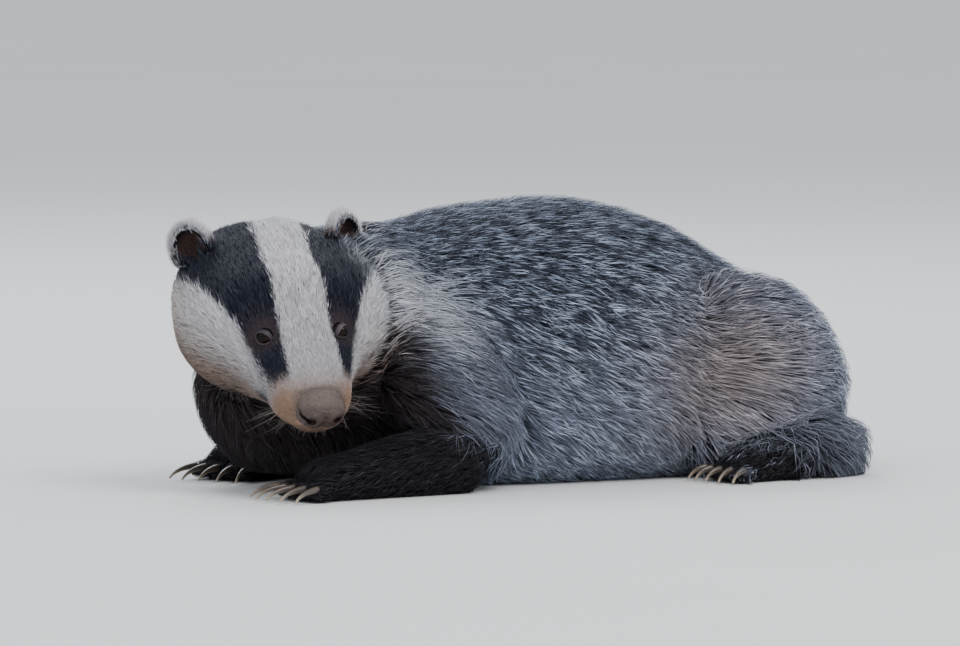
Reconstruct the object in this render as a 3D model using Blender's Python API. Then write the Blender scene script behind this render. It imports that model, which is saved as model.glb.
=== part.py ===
"""A European badger lying on its belly with its head turned to its left, life size.

Metres, +Z up. The badger's nose points to -Y, its trunk runs along +X and a little to +Y, and it lies on
Z = 0. The body is modelled whole and then parted into its named pieces by thin cuts.
"""

import math
from collections import namedtuple

import bmesh
import bpy
import numpy as np
from mathutils import Matrix, Vector
from mathutils.bvhtree import BVHTree

# Driving dimensions
MM = 0.001
GAP = 0.3 * MM
WITHERS = Vector((-0.060, 0.055, 0))
TRUNK_HEADING = math.radians(28)
HEAD_CENTRE = Vector((-0.141, -0.0405, 0.136))
HEAD_YAW = math.radians(20)
HEAD_PITCH = math.radians(41)
HEAD_ROLL = math.radians(4)
EYE_RADIUS = 6.5 * MM
LID_THICKNESS = 1.8 * MM

# Points on the head, in millimetres forward, to one side and up from the middle of the cranium
EYE_SEAT = (50.0, 27.0, 16.5)
EYE_GAZE = (0.60, 0.62, 0.50)
EAR_SEAT = (-47.0, 56.0, 12.0)
NOSTRIL = (119.5, 9.0, 2.5)
MOUTH = [
    (112, 0, -13.5),
    (109, 11, -14.5),
    (103, 19, -16.5),
    (93, 25, -18.5),
    (80, 30, -21),
    (66, 37, -24.5),
    (54, 46, -28),
]

# How square a cross-section is: 1 is an ellipse, and less is fuller at its corners
TRUNK_SQUARE = 0.85
LEG_SQUARE = 0.9
HEAD_SQUARE = 0.92
NOSE_SQUARE = 0.85

# The trunk's directions in plan
FORWARD = Vector((-math.cos(TRUNK_HEADING), -math.sin(TRUNK_HEADING), 0))
LEFT = Vector((-FORWARD.y, FORWARD.x, 0))
UP = Vector((0, 0, 1))
BODY_AXES = Matrix((-FORWARD, LEFT, UP)).transposed()

# A cross-section, out to the coat's outline: its centre, half width, and reach above and below it, in metres
Ring = namedtuple("Ring", "at half rise drop")


def head_axes():
    """Columns are the head's forward, left and up directions."""
    yaw, pitch, roll = HEAD_YAW, HEAD_PITCH, HEAD_ROLL
    forward = Vector((math.sin(yaw) * math.cos(pitch), -math.cos(yaw) * math.cos(pitch), -math.sin(pitch)))
    level = Vector((math.cos(yaw), math.sin(yaw), 0))
    left = level * math.cos(roll) + forward.cross(level) * math.sin(roll)
    return Matrix((forward, left, forward.cross(left))).transposed()


HEAD_AXES = head_axes()


def in_head(forward, left, up):
    """A point from millimetres along the head's own axes, from the middle of the cranium."""
    return HEAD_CENTRE + HEAD_AXES @ Vector((forward, left, up)) * MM


def in_body(back, left, up):
    """A point from millimetres behind the withers, to the badger's left, and above the floor."""
    return WITHERS + BODY_AXES @ Vector((back, left, up)) * MM


def body_ring(back, left, up, half, rise, drop):
    return Ring(in_body(back, left, up), half * MM, rise * MM, drop * MM)


def head_ring(forward, half, top, middle, bottom):
    return Ring(in_head(forward, 0, middle), half * MM, (top - middle) * MM, (middle - bottom) * MM)


TRUNK = [
    body_ring(-92, 4, 62, 48, 52, 44),
    body_ring(-62, 4, 70, 78, 84, 68),
    body_ring(-20, 2, 76, 98, 110, 82),
    body_ring(30, 0, 78, 112, 119, 84),
    body_ring(80, 0, 80, 119, 122, 86),
    body_ring(135, 0, 80, 122, 125, 86),
    body_ring(190, 0, 80, 118, 111, 86),
    body_ring(232, 0, 78, 108, 88, 84),
    body_ring(262, 0, 74, 92, 72, 80),
    body_ring(288, 0, 68, 74, 56, 74),
    body_ring(308, 0, 60, 52, 42, 62),
]
NECK = [
    body_ring(-10, 0, 112, 92, 80, 96),
    body_ring(-40, 8, 114, 88, 79, 92),
    body_ring(-70, 22, 116, 84, 72, 84),
    body_ring(-92, 36, 118, 74, 62, 76),
]
THROAT = [
    body_ring(-50, 4, 84, 74, 62, 76),
    body_ring(-92, 4, 74, 66, 56, 66),
    body_ring(-122, 2, 66, 54, 46, 54),
]
HEAD = [
    head_ring(-58, 54, 14, -16, -58),
    head_ring(-38, 67, 24, -16, -66),
    head_ring(-15, 73, 34, -16, -67),
    head_ring(8, 75.5, 40, -16, -63),
    head_ring(30, 69.5, 40, -14, -55),
    head_ring(46, 58, 34, -10, -45),
    head_ring(60, 45, 28, -6, -37),
    head_ring(75, 35, 23, -3, -31),
    head_ring(90, 29.5, 19, -2, -28),
    head_ring(100, 26.5, 17, -2, -27),
    head_ring(107, 22, 14, -3, -24),
]
NOSE = [
    head_ring(100, 13.5, 14, 3, -8),
    head_ring(107, 17, 17, 3, -10),
    head_ring(114, 17.5, 15.5, 2, -11),
    head_ring(118, 15, 12, 1, -9.5),
]
TAIL = [
    body_ring(312, -6, 62, 34, 34, 34),
    body_ring(340, -22, 46, 33, 32, 34),
    body_ring(352, -58, 33, 34, 31, 36),
    body_ring(342, -98, 28, 32, 27, 32),
    body_ring(320, -132, 23, 24, 20, 27),
    body_ring(298, -152, 18, 12, 12, 20),
]


def haunch(side):
    return [
        body_ring(190, side * 84, 62, 20, 58, 54),
        body_ring(216, side * 90, 68, 34, 82, 66),
        body_ring(244, side * 92, 70, 40, 82, 76),
        body_ring(272, side * 86, 66, 39, 68, 74),
        body_ring(297, side * 75, 58, 33, 48, 62),
    ]


def hind_foot(side):
    return [
        body_ring(306, side * 104, 22, 19, 20, 26),
        body_ring(274, side * 116, 18, 20, 18, 22),
        body_ring(238, side * 122, 14, 21, 15, 18),
        body_ring(214, side * 126, 11, 20, 12, 15),
    ]


def upper_arm(side):
    return [
        body_ring(-30, side * 72, 110, 30, 40, 40),
        body_ring(-18, side * 86, 84, 36, 44, 44),
        body_ring(-6, side * 98, 52, 32, 40, 40),
        body_ring(-4, side * 104, 28, 26, 26, 32),
    ]


def forearm(elbow, wrist, paw):
    """Elbow, wrist and paw are (back, left) in millimetres."""
    return [
        body_ring(*elbow, 24, 26, 24, 28),
        body_ring(*(Vector(elbow) * 0.5 + Vector(wrist) * 0.5), 20, 23, 20, 26),
        body_ring(*wrist, 15, 22, 15, 20),
        body_ring(*paw, 13, 24, 14, 18),
    ]


# Plan places of elbow, wrist and paw, in millimetres back and left, by side
FORELEG = {1: ((-8, 108), (-100, 118), (-122, 119)), -1: ((-8, -106), (-78, -74), (-98, -62))}

FINE_CAP = (80, 62, 40, 20)
PLAIN_CAP = (65, 30)
CAP_REACH = 0.55
LEAST_REACH = 1 * MM


def smooth_rings(rings, along, cap):
    """Rings read from a Catmull-Rom curve through the given ones, with a rounded cap at each end."""
    rows = np.array([[*r.at, r.half, r.rise, r.drop] for r in rings])
    rows = np.vstack([2 * rows[0] - rows[1], rows, 2 * rows[-1] - rows[-2]])
    out = []
    for k in range(1, len(rows) - 2):
        a, b, c, d = rows[k - 1 : k + 3]
        for t in np.arange(along) / along:
            curve = 2 * b + (c - a) * t + (2 * a - 5 * b + 4 * c - d) * t**2 + (3 * b - a - 3 * c + d) * t**3
            out.append(0.5 * curve)
    out.append(rows[-2])
    return capped(np.array(out), cap)


def capped(rows, cap):
    """The rows with shrinking rings past both ends, so that the form closes round."""
    ends = []
    angles = np.radians(cap)
    for row, inner in ((rows[0], rows[1]), (rows[-1], rows[-2])):
        out = row[:3] - inner[:3]
        out = out / np.linalg.norm(out) * CAP_REACH * min(row[3], (row[4] + row[5]) / 2)
        ends.append([np.hstack([row[:3] + out * math.sin(a), row[3:] * math.cos(a)]) for a in angles])
    return np.vstack([ends[0], rows, ends[1][::-1]])


def facing_out(bm):
    """The closed bmesh with all its faces turned outwards."""
    bmesh.ops.recalc_face_normals(bm, faces=bm.faces)
    if bm.calc_volume(signed=True) < 0:
        bmesh.ops.reverse_faces(bm, faces=bm.faces)
    return bm


def tube(rings, up=UP, square=1.0, along=4, around=28, grow=0.0, cap=FINE_CAP):
    """A ball whose circles of latitude are set on the rings, grown by a wall."""
    rows = smooth_rings(rings, along, cap)
    centres = rows[:, :3]
    tangents = np.gradient(centres, axis=0)
    sides = np.cross(tangents, np.array(up))
    sides /= np.linalg.norm(sides, axis=1)[:, None]
    ups = np.cross(sides, tangents)
    ups /= np.linalg.norm(ups, axis=1)[:, None]
    half, rise, drop = (np.maximum(rows[:, k], LEAST_REACH) + grow for k in (3, 4, 5))
    bm = bmesh.new()
    bmesh.ops.create_uvsphere(bm, u_segments=around, v_segments=len(rows) + 1, radius=1)
    for v in bm.verts:
        k = round(math.acos(max(-1.0, min(1.0, v.co.z))) / math.pi * (len(rows) + 1)) - 1
        if k < 0 or k == len(rows):
            end, beside = (0, 1) if k < 0 else (-1, -2)
            out = centres[end] - centres[beside]
            v.co = Vector(centres[end] + out / np.linalg.norm(out) * grow)
            continue
        angle = math.atan2(v.co.y, v.co.x)
        c = math.copysign(abs(math.cos(angle)) ** square, math.cos(angle))
        s = math.copysign(abs(math.sin(angle)) ** square, math.sin(angle))
        reach = rise[k] if s > 0 else drop[k]
        v.co = centres[k] + sides[k] * half[k] * c + ups[k] * reach * s
    return facing_out(bm)


def ball(at, axes, radii, around=16):
    """An ellipsoid whose half axes, in millimetres, lie along the columns of axes."""
    bm = bmesh.new()
    bmesh.ops.create_uvsphere(bm, u_segments=around, v_segments=around // 2 + 2, radius=1)
    for v in bm.verts:
        v.co = at + axes @ Vector([c * r for c, r in zip(v.co, radii)]) * MM
    return facing_out(bm)


def block(at, axes, low, high):
    """A box between two corners, in millimetres along the columns of axes."""
    bm = bmesh.new()
    bmesh.ops.create_cube(bm, size=1)
    middle = (Vector(low) + Vector(high)) / 2
    size = Vector(high) - Vector(low)
    for v in bm.verts:
        v.co = at + axes @ (middle + Vector([c * s for c, s in zip(v.co, size)])) * MM
    return facing_out(bm)


def made(name, bm):
    """A new object of the bmesh, which is freed."""
    mesh = bpy.data.meshes.new(name)
    bm.to_mesh(mesh)
    bm.free()
    obj = bpy.data.objects.new(name, mesh)
    bpy.context.scene.collection.objects.link(obj)
    return obj


def joined(name, forms):
    """One object that holds all the forms, each freed."""
    whole = bmesh.new()
    for bm in forms:
        mesh = bpy.data.meshes.new("form")
        bm.to_mesh(mesh)
        whole.from_mesh(mesh)
        bpy.data.meshes.remove(mesh)
        bm.free()
    return made(name, whole)


def applied(obj):
    """The object with its modifiers made part of its mesh."""
    graph = bpy.context.evaluated_depsgraph_get()
    mesh = bpy.data.meshes.new_from_object(obj.evaluated_get(graph))
    obj.modifiers.clear()
    obj.data = mesh
    return obj


def keep_largest(obj):
    """Leave only the closed surface that holds the most space."""
    bm = bmesh.new()
    bm.from_mesh(obj.data)
    bmesh.ops.triangulate(bm, faces=bm.faces)
    unseen = set(bm.faces)
    shells = []
    while unseen:
        shell = [unseen.pop()]
        for face in shell:
            for edge in face.edges:
                for other in edge.link_faces:
                    if other in unseen:
                        unseen.remove(other)
                        shell.append(other)
        shells.append(shell)
    shells.sort(key=shell_volume)
    bmesh.ops.delete(bm, geom=[f for shell in shells[:-1] for f in shell], context="FACES")
    bm.to_mesh(obj.data)
    bm.free()


def shell_volume(faces):
    total = 0.0
    for face in faces:
        first, *others = [v.co for v in face.verts]
        total += sum(first.dot(b.cross(c)) for b, c in zip(others, others[1:])) / 6
    return total


def combined(obj, pieces, operation):
    """The object after one Boolean with a collection of closed pieces, which are then removed."""
    group = bpy.data.collections.new("pieces")
    bpy.context.scene.collection.children.link(group)
    for piece in pieces:
        group.objects.link(piece)
    cut = obj.modifiers.new("combine", "BOOLEAN")
    cut.operation = operation
    cut.solver = "MANIFOLD"
    cut.operand_type = "COLLECTION"
    cut.collection = group
    applied(obj)
    for piece in pieces:
        bpy.data.objects.remove(piece)
    bpy.data.collections.remove(group)
    keep_largest(obj)
    return obj


def copied(obj, name):
    copy = bpy.data.objects.new(name, obj.data.copy())
    bpy.context.scene.collection.objects.link(copy)
    return copy


def grown(obj, by=GAP):
    """A copy whose every point is moved out along its normal."""
    copy = copied(obj, obj.name + "_grown")
    for v in copy.data.vertices:
        v.co += Vector(v.normal) * by
    return copy


def taken(whole, name, region):
    """Part the piece inside a region from the whole. The region is a function of how far it is grown."""
    piece = copied(whole, name)
    combined(piece, [region(-GAP / 2)], "INTERSECT")
    combined(whole, [region(GAP / 2)], "DIFFERENCE")
    return piece


# The coat's plain outline

CORE_VOXEL = 5 * MM
CORE_SMOOTHING = 5
CORE_TRIANGLES = 3600


def body_core():
    """All the flesh but the head, fused and smoothed."""
    forms = [tube(TRUNK, square=TRUNK_SQUARE)]
    forms += [tube(rings) for rings in (NECK, THROAT, TAIL)]
    for side in (1, -1):
        forms += [tube(haunch(side), square=LEG_SQUARE), tube(hind_foot(side), square=LEG_SQUARE)]
        forms += [tube(upper_arm(side), FORWARD), tube(forearm(*FORELEG[side]))]
    core = joined("torso", forms)
    remesh = core.modifiers.new("remesh", "REMESH")
    remesh.mode = "VOXEL"
    remesh.voxel_size = CORE_VOXEL
    smooth = core.modifiers.new("smooth", "SMOOTH")
    smooth.iterations = CORE_SMOOTHING
    applied(core)
    keep_largest(core)
    core.data.calc_loop_triangles()
    reduce = core.modifiers.new("reduce", "DECIMATE")
    reduce.ratio = CORE_TRIANGLES / len(core.data.loop_triangles)
    applied(core)
    keep_largest(core)
    return core


# The head and its parts

def mirrored(point, side):
    return Vector((point[0], side * point[1], point[2]))


def mouth_path(surface):
    """Pairs of a point on the lips and the way out of them, from one corner of the mouth to the other."""
    course = [Vector(p) for p in MOUTH]
    course = [mirrored(p, -1) for p in reversed(course[1:])] + course
    path = []
    for point in course:
        at, normal, _, _ = surface.find_nearest(in_head(*point))
        path.append((at, normal))
    return path


def lip_strip(path, outline):
    """A closed strip along the mouth. The outline's points are millimetres out of the lips and up them."""
    bm = bmesh.new()
    head_up = HEAD_AXES.col[2]
    rows = []
    for at, normal in path:
        along_lip = (head_up - normal * head_up.dot(normal)).normalized()
        rows.append([bm.verts.new(at + (normal * out + along_lip * up) * MM) for out, up in outline])
    for row, after in zip(rows, rows[1:]):
        for k in range(len(outline)):
            n = (k + 1) % len(outline)
            bm.faces.new((row[k], row[n], after[n], after[k]))
    bm.faces.new(rows[0])
    bm.faces.new(rows[-1])
    bmesh.ops.triangulate(bm, faces=bm.faces)
    return facing_out(bm)


LIP_OUTLINE = [(1.0, 0.8), (0.2, 3.0), (-3.0, 3.2), (-3.0, -2.8), (0.2, -2.6), (1.0, -0.6)]
MOUTH_GROOVE = [(3.0, 1.2), (-3.6, 0.0), (3.0, -1.0)]


def eye_axes(side):
    """Columns are the gaze, the line from the lids' inner to their outer corner, and the way across them."""
    gaze = (HEAD_AXES @ mirrored(EYE_GAZE, side)).normalized()
    fissure = HEAD_AXES @ Vector((-0.62, side * 0.75, -0.05))
    fissure = (fissure - gaze * fissure.dot(gaze)).normalized()
    return Matrix((gaze, fissure, gaze.cross(fissure))).transposed()


# The slit between the lids at its inner and its outer end: millimetres out, half width and half height
LID_SLIT = (2.0, 4.4, 2.8)
LID_FLARE = (16.0, 11.0, 8.0)


def lid_opening(at, axes):
    """A cutter for the slit between the lids, wider outwards."""
    bm = bmesh.new()
    bmesh.ops.create_cone(bm, cap_ends=True, segments=16, radius1=1, radius2=1, depth=1)
    for v in bm.verts:
        out, wide, high = LID_FLARE if v.co.z > 0 else LID_SLIT
        angle = math.atan2(v.co.y, v.co.x)
        v.co = at + axes @ Vector((out, wide * math.cos(angle), high * math.sin(angle))) * MM
    return facing_out(bm)


def head_with_parts():
    """The head, with its nose pad and eyes clear of it."""
    head = made("head", tube(HEAD, HEAD_AXES.col[2], HEAD_SQUARE, along=2))
    surface = BVHTree.FromObject(head, bpy.context.evaluated_depsgraph_get())
    path = mouth_path(surface)
    pads = [made("lips", lip_strip(path, LIP_OUTLINE))]
    cutters = [made("groove", lip_strip(path, MOUTH_GROOVE))]
    parts = [made("nose", nose_pad(0))]
    cutters.append(made("socket", nose_pad(GAP)))
    for side, name in ((1, "left"), (-1, "right")):
        seat = in_head(*mirrored(EYE_SEAT, side))
        axes = eye_axes(side)
        lid = EYE_RADIUS + LID_THICKNESS
        pads.append(made("lids", ball(seat, axes, [lid / MM] * 3)))
        cutters.append(made("opening", lid_opening(seat, axes)))
        cutters.append(made("socket", ball(seat, axes, [(EYE_RADIUS + GAP) / MM] * 3)))
        parts.append(made("eye_" + name, ball(seat, axes, [EYE_RADIUS / MM] * 3)))
    combined(head, pads, "UNION")
    combined(head, cutters, "DIFFERENCE")
    nostrils = [nostril(side) for side in (1, -1)]
    combined(parts[0], nostrils, "DIFFERENCE")
    return head, parts


def nose_pad(grow):
    return tube(NOSE, HEAD_AXES.col[2], NOSE_SQUARE, along=2, around=16, grow=grow, cap=PLAIN_CAP)


# Half axes of the nostril's opening and slit, and how far out from the one the other lies, in millimetres
NOSTRIL_HOLE = (6.0, 3.0, 2.6)
NOSTRIL_SLIT = (4.5, 5.0, 1.5)
SLIT_OUT = 4.5


def nostril(side):
    """A round opening with a slit that runs out and up from it, as one closed cutter."""
    at = in_head(*mirrored(NOSTRIL, side))
    outward = HEAD_AXES @ mirrored((-0.35, 1.0, 0.25), side)
    hole = made("nostril", ball(at, HEAD_AXES, NOSTRIL_HOLE, 10))
    slit_axes = Matrix((HEAD_AXES.col[0], outward.normalized(), HEAD_AXES.col[2])).transposed()
    slit = made("slit", ball(at + outward * SLIT_OUT * MM, slit_axes, NOSTRIL_SLIT, 10))
    return combined(hole, [slit], "UNION")


# Half axes of the ear and of its hollow, and the hollow's place in the ear's axes, in millimetres
EAR_SIZE = (11, 17, 19)
EAR_HOLLOW = (12, 12.5, 14.5)
HOLLOW_SEAT = (9, 0, -1)


def ear_axes(side):
    """Columns are the way the cup opens, its width and its tip."""
    opens = (HEAD_AXES @ mirrored((0.52, 0.52, 0.58), side)).normalized()
    tip = HEAD_AXES @ mirrored((-0.55, 0.42, 0.62), side)
    tip = (tip - opens * tip.dot(opens)).normalized()
    return Matrix((opens, tip.cross(opens), tip)).transposed()


def ear(name, side, head):
    """A low round cup with a thick rim, seated on the head but clear of it."""
    axes = ear_axes(side)
    seat = in_head(*mirrored(EAR_SEAT, side))
    cup = made(name, ball(seat, axes, EAR_SIZE, 18))
    hollow = made("hollow", ball(seat + axes @ Vector(HOLLOW_SEAT) * MM, axes, EAR_HOLLOW, 14))
    return combined(cup, [hollow, grown(head)], "DIFFERENCE")


# Paws

TOES = 5
TOE_FAN = 0.30
TOE_ARCH = 3.5
TOE_HEIGHT = 7.2
CLAW_HEIGHT = 9.5
CLAW_SUNK = 4.5
CLAW_DROP = 7.2
CLAW_BEND = 1.25
CLAW_STATIONS = 4

# A paw's reach ahead of its point, half the distance between toes, half axes of a toe, and length of a claw
Paw = namedtuple("Paw", "front spread toe claw")
FORE_PAW = Paw(16, 9.0, (11.0, 6.0, 7.0), 24.0)
HIND_PAW = Paw(14, 8.4, (10.0, 5.6, 6.4), 14.0)

# A claw's half width and reach above and below its middle, at its root and at its tip, in millimetres
CLAW_ROOT = np.array((2.4, 3.0, 2.5))
CLAW_TIP = np.array((0.7, 0.8, 0.7))


def toes_and_claws(at, heading, paw):
    """Closed toes and claws, fanned over the front of a paw that stands at a point of the floor."""
    pieces = []
    across = UP.cross(heading)
    for k in range(TOES):
        turn = (k - (TOES - 1) / 2) / ((TOES - 1) / 2)
        way = (heading + across * TOE_FAN * turn).normalized()
        root = at + way * (paw.front - TOE_ARCH * turn**2) * MM + across * turn * paw.spread * 2 * MM
        axes = Matrix((way, UP.cross(way), UP)).transposed()
        pieces.append(made("toe", ball(root + UP * TOE_HEIGHT * MM, axes, paw.toe, 8)))
        pieces.append(made("claw", claw(root + UP * CLAW_HEIGHT * MM, way, paw.toe[0] - CLAW_SUNK, paw.claw)))
    return pieces


def claw(root, way, sunk, length):
    """A bent horn that tapers to the floor, from a root that is sunk in the toe."""
    rings = []
    for k in range(CLAW_STATIONS):
        t = k / (CLAW_STATIONS - 1)
        ahead = way * (sunk + length * math.sin(t * CLAW_BEND)) * MM
        sink = UP * CLAW_DROP * MM * (1 - math.cos(t * CLAW_BEND)) / (1 - math.cos(CLAW_BEND))
        size = (CLAW_ROOT + (CLAW_TIP - CLAW_ROOT) * t) * MM
        rings.append(Ring(root + ahead - sink, *size))
    return tube(rings, along=1, around=6, cap=(45,))


# Where the body is parted, in millimetres behind the withers, to one side and up, with half axes of the balls
HEAD_MARGIN = 6 * MM
TAIL_MARGIN = 3 * MM
NECK_CUT = -26
RUMP_CUT = 206
SHOULDER_SEAT, SHOULDER_SIZE = (-14, 122, 66), (62, 54, 92)
FOREARM_WIDTH, FOREARM_FLOOR, FOREARM_TOP = 33, -20, 40
FOREARM_START, PAW_ROOM = -10, 60
THIGH_SEAT, THIGH_SIZE = (250, 126, 52), (84, 66, 98)
FOOT_SEAT, FOOT_SIZE = (262, 116, 0), (88, 46, 36)
HIND_HEEL, HIND_TOES = (274, 116, 0), (214, 126, 0)
WRIST_ROOM = 8
FAR = 500


def on_side(point, side):
    """A point of the body, from millimetres, mirrored to one side."""
    return in_body(*mirrored(point, side))


def grown_ball(at, size, grow, around):
    return ball(at, BODY_AXES, [r + grow / MM for r in size], around)


def head_region(grow):
    return made("region", tube(HEAD, HEAD_AXES.col[2], HEAD_SQUARE, 1, 20, HEAD_MARGIN + grow, PLAIN_CAP))


def tail_region(grow):
    return made("region", tube(TAIL, along=2, around=14, grow=TAIL_MARGIN + grow, cap=PLAIN_CAP))


def foreleg_region(side):
    """The shoulder's ball and a box over the forearm."""
    elbow, _, paw = FORELEG[side]
    run = Vector(paw) - Vector(elbow)
    length = run.length
    way = BODY_AXES @ Vector((run.x, run.y, 0)).normalized()
    axes = Matrix((way, UP.cross(way), UP)).transposed()

    def region(grow):
        g = grow / MM
        shoulder = made("region", grown_ball(on_side(SHOULDER_SEAT, side), SHOULDER_SIZE, grow, 18))
        low = (FOREARM_START, -FOREARM_WIDTH - g, FOREARM_FLOOR)
        high = (length + PAW_ROOM, FOREARM_WIDTH + g, FOREARM_TOP + g)
        over = block(in_body(*elbow, 0), axes, low, high)
        return combined(shoulder, [made("over", over)], "UNION")

    return region


def hindleg_region(side):
    return lambda grow: made("region", grown_ball(on_side(THIGH_SEAT, side), THIGH_SIZE, grow, 20))


def behind(back):
    """The space behind a plane across the trunk."""
    at = in_body(back, 0, 0)
    return lambda grow: made("region", block(at, BODY_AXES, (-grow / MM, -FAR, -FAR), (FAR, FAR, FAR)))


def ahead_of(back):
    """The space ahead of a plane across the trunk."""
    at = in_body(back, 0, 0)
    return lambda grow: made("region", block(at, BODY_AXES, (-FAR, -FAR, -FAR), (grow / MM, FAR, FAR)))


def beyond(at, way):
    """The space past a plane that faces along a level direction."""
    axes = Matrix((way, UP.cross(way), UP)).transposed()
    return lambda grow: made("region", block(at, axes, (-grow / MM, -FAR, -FAR), (FAR, FAR, FAR)))


def hind_foot_region(side):
    return lambda grow: made("region", grown_ball(on_side(FOOT_SEAT, side), FOOT_SIZE, grow, 16))


def part_body(body):
    """Every named piece of flesh but the head, from the fused body."""
    pieces = [taken(body, "tail", tail_region)]
    for side, name in ((1, "left"), (-1, "right")):
        foreleg = taken(body, "foreleg_" + name, foreleg_region(side))
        elbow, wrist, paw = (in_body(*p, 0) for p in FORELEG[side])
        heading = (paw - elbow).normalized()
        forepaw = taken(foreleg, "forepaw_" + name, beyond(wrist - heading * WRIST_ROOM * MM, heading))
        combined(forepaw, toes_and_claws(paw, heading, FORE_PAW), "UNION")
        hindleg = taken(body, "hindleg_" + name, hindleg_region(side))
        hindpaw = taken(hindleg, "hindpaw_" + name, hind_foot_region(side))
        toe_at = on_side(HIND_TOES, side)
        foot_way = (toe_at - on_side(HIND_HEEL, side)).normalized()
        combined(hindpaw, toes_and_claws(toe_at, foot_way, HIND_PAW), "UNION")
        pieces += [foreleg, forepaw, hindleg, hindpaw]
    pieces.append(taken(body, "rump", behind(RUMP_CUT)))
    pieces.append(taken(body, "neck", ahead_of(NECK_CUT)))
    return pieces


# Finishes: colour and roughness by piece
GREY_COAT = ((0.30, 0.32, 0.36), 0.8)
DARK_COAT = ((0.03, 0.03, 0.035), 0.75)
WHITE_COAT = ((0.80, 0.77, 0.72), 0.8)
FINISHES = {
    "head": WHITE_COAT,
    "nose": ((0.16, 0.13, 0.12), 0.45),
    "eye": ((0.02, 0.012, 0.01), 0.08),
    "ear": ((0.10, 0.08, 0.075), 0.8),
    "fore": DARK_COAT,
    "hindpaw": DARK_COAT,
    "tail": ((0.55, 0.54, 0.52), 0.85),
}


def finish(obj):
    """Its own plain material, from the first word of the name that has one."""
    colour, roughness = next((v for k, v in FINISHES.items() if obj.name.startswith(k)), GREY_COAT)
    material = bpy.data.materials.new(obj.name)
    material.use_nodes = True
    shader = material.node_tree.nodes["Principled BSDF"]
    shader.inputs["Base Color"].default_value = (*colour, 1)
    shader.inputs["Roughness"].default_value = roughness
    shader.inputs["Metallic"].default_value = 0
    obj.data.materials.clear()
    obj.data.materials.append(material)
    obj.data.shade_smooth()


def centred(objects):
    """Move all the meshes so that the middle of their box stands over the origin, on the floor."""
    points = np.array([v.co for obj in objects for v in obj.data.vertices])
    low, high = points.min(axis=0), points.max(axis=0)
    shift = Matrix.Translation((-(low[0] + high[0]) / 2, -(low[1] + high[1]) / 2, -low[2]))
    for obj in objects:
        obj.data.transform(shift)


def clear_scene():
    for obj in list(bpy.data.objects):
        bpy.data.objects.remove(obj)


def main():
    clear_scene()
    head, pieces = head_with_parts()
    body = body_core()
    combined(body, [head], "UNION")
    floor = block(Vector((0, 0, 0)), Matrix.Identity(3), (-FAR, -FAR, -FAR), (FAR, FAR, 0))
    combined(body, [made("floor", floor)], "DIFFERENCE")
    head = taken(body, "head", head_region)
    pieces += [body, head, *part_body(body)]
    neck = bpy.data.objects["neck"]
    for side, name in ((1, "left"), (-1, "right")):
        cup = ear("ear_" + name, side, head)
        combined(neck, [grown(cup)], "DIFFERENCE")
        pieces.append(cup)
    centred(pieces)
    for obj in pieces:
        finish(obj)


main()
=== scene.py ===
"""Looks of a life-size European badger that lies on its belly with its head turned to its left.

One skin is fused from the head, the body, the ears and the paws. Tufts of fur are planted all over it.
The eyes with their lids, the nose pad, the claws and the whiskers are pieces of their own.
"""

import math
from collections import namedtuple

import bmesh
import bpy
import numpy as np
from mathutils import Matrix, Vector
from mathutils.bvhtree import BVHTree
from mathutils.kdtree import KDTree


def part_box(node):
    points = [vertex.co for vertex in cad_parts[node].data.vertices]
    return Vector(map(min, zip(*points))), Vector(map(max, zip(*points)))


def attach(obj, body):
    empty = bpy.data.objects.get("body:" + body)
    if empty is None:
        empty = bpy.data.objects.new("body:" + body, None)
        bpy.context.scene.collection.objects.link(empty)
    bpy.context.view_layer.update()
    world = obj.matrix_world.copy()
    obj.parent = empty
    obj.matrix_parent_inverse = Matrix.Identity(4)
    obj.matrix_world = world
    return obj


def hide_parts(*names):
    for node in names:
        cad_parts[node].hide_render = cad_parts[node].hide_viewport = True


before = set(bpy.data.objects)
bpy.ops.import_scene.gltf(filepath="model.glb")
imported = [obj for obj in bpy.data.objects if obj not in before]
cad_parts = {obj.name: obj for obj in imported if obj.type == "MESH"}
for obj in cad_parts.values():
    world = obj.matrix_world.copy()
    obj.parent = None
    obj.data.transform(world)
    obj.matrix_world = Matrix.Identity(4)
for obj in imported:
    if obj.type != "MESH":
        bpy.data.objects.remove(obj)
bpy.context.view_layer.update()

MM = 0.001
CHANCE = np.random.default_rng(11)

# The animal's own directions, as in the solids
TRUNK_HEADING = math.radians(28)
HEAD_YAW, HEAD_PITCH, HEAD_ROLL = math.radians(20), math.radians(41), math.radians(4)
FORWARD = Vector((-math.cos(TRUNK_HEADING), -math.sin(TRUNK_HEADING), 0))
LEFT = Vector((-FORWARD.y, FORWARD.x, 0))
UP = Vector((0, 0, 1))
BODY_AXES = Matrix((-FORWARD, LEFT, UP)).transposed()
EYE_RADIUS = 6.5
EYE_SEAT = (50.0, 27.0, 16.5)
EYE_GAZE = (0.60, 0.62, 0.50)
EAR_SEAT = (-47.0, 56.0, 12.0)
EAR_SIZE = (9.5, 15.5, 17.5)
NOSTRIL = (119.5, 9.0, 2.5)
MOUTH = [(112, 0, -13.5), (107, 14, -15), (93, 25, -18.5), (73, 33, -22.5), (54, 46, -28)]

Ring = namedtuple("Ring", "at half rise drop coat")


def head_axes():
    """Columns are the head's forward, left and up directions."""
    yaw, pitch, roll = HEAD_YAW, HEAD_PITCH, HEAD_ROLL
    forward = Vector((math.sin(yaw) * math.cos(pitch), -math.cos(yaw) * math.cos(pitch), -math.sin(pitch)))
    level = Vector((math.cos(yaw), math.sin(yaw), 0))
    left = level * math.cos(roll) + forward.cross(level) * math.sin(roll)
    return Matrix((forward, left, forward.cross(left))).transposed()


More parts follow.
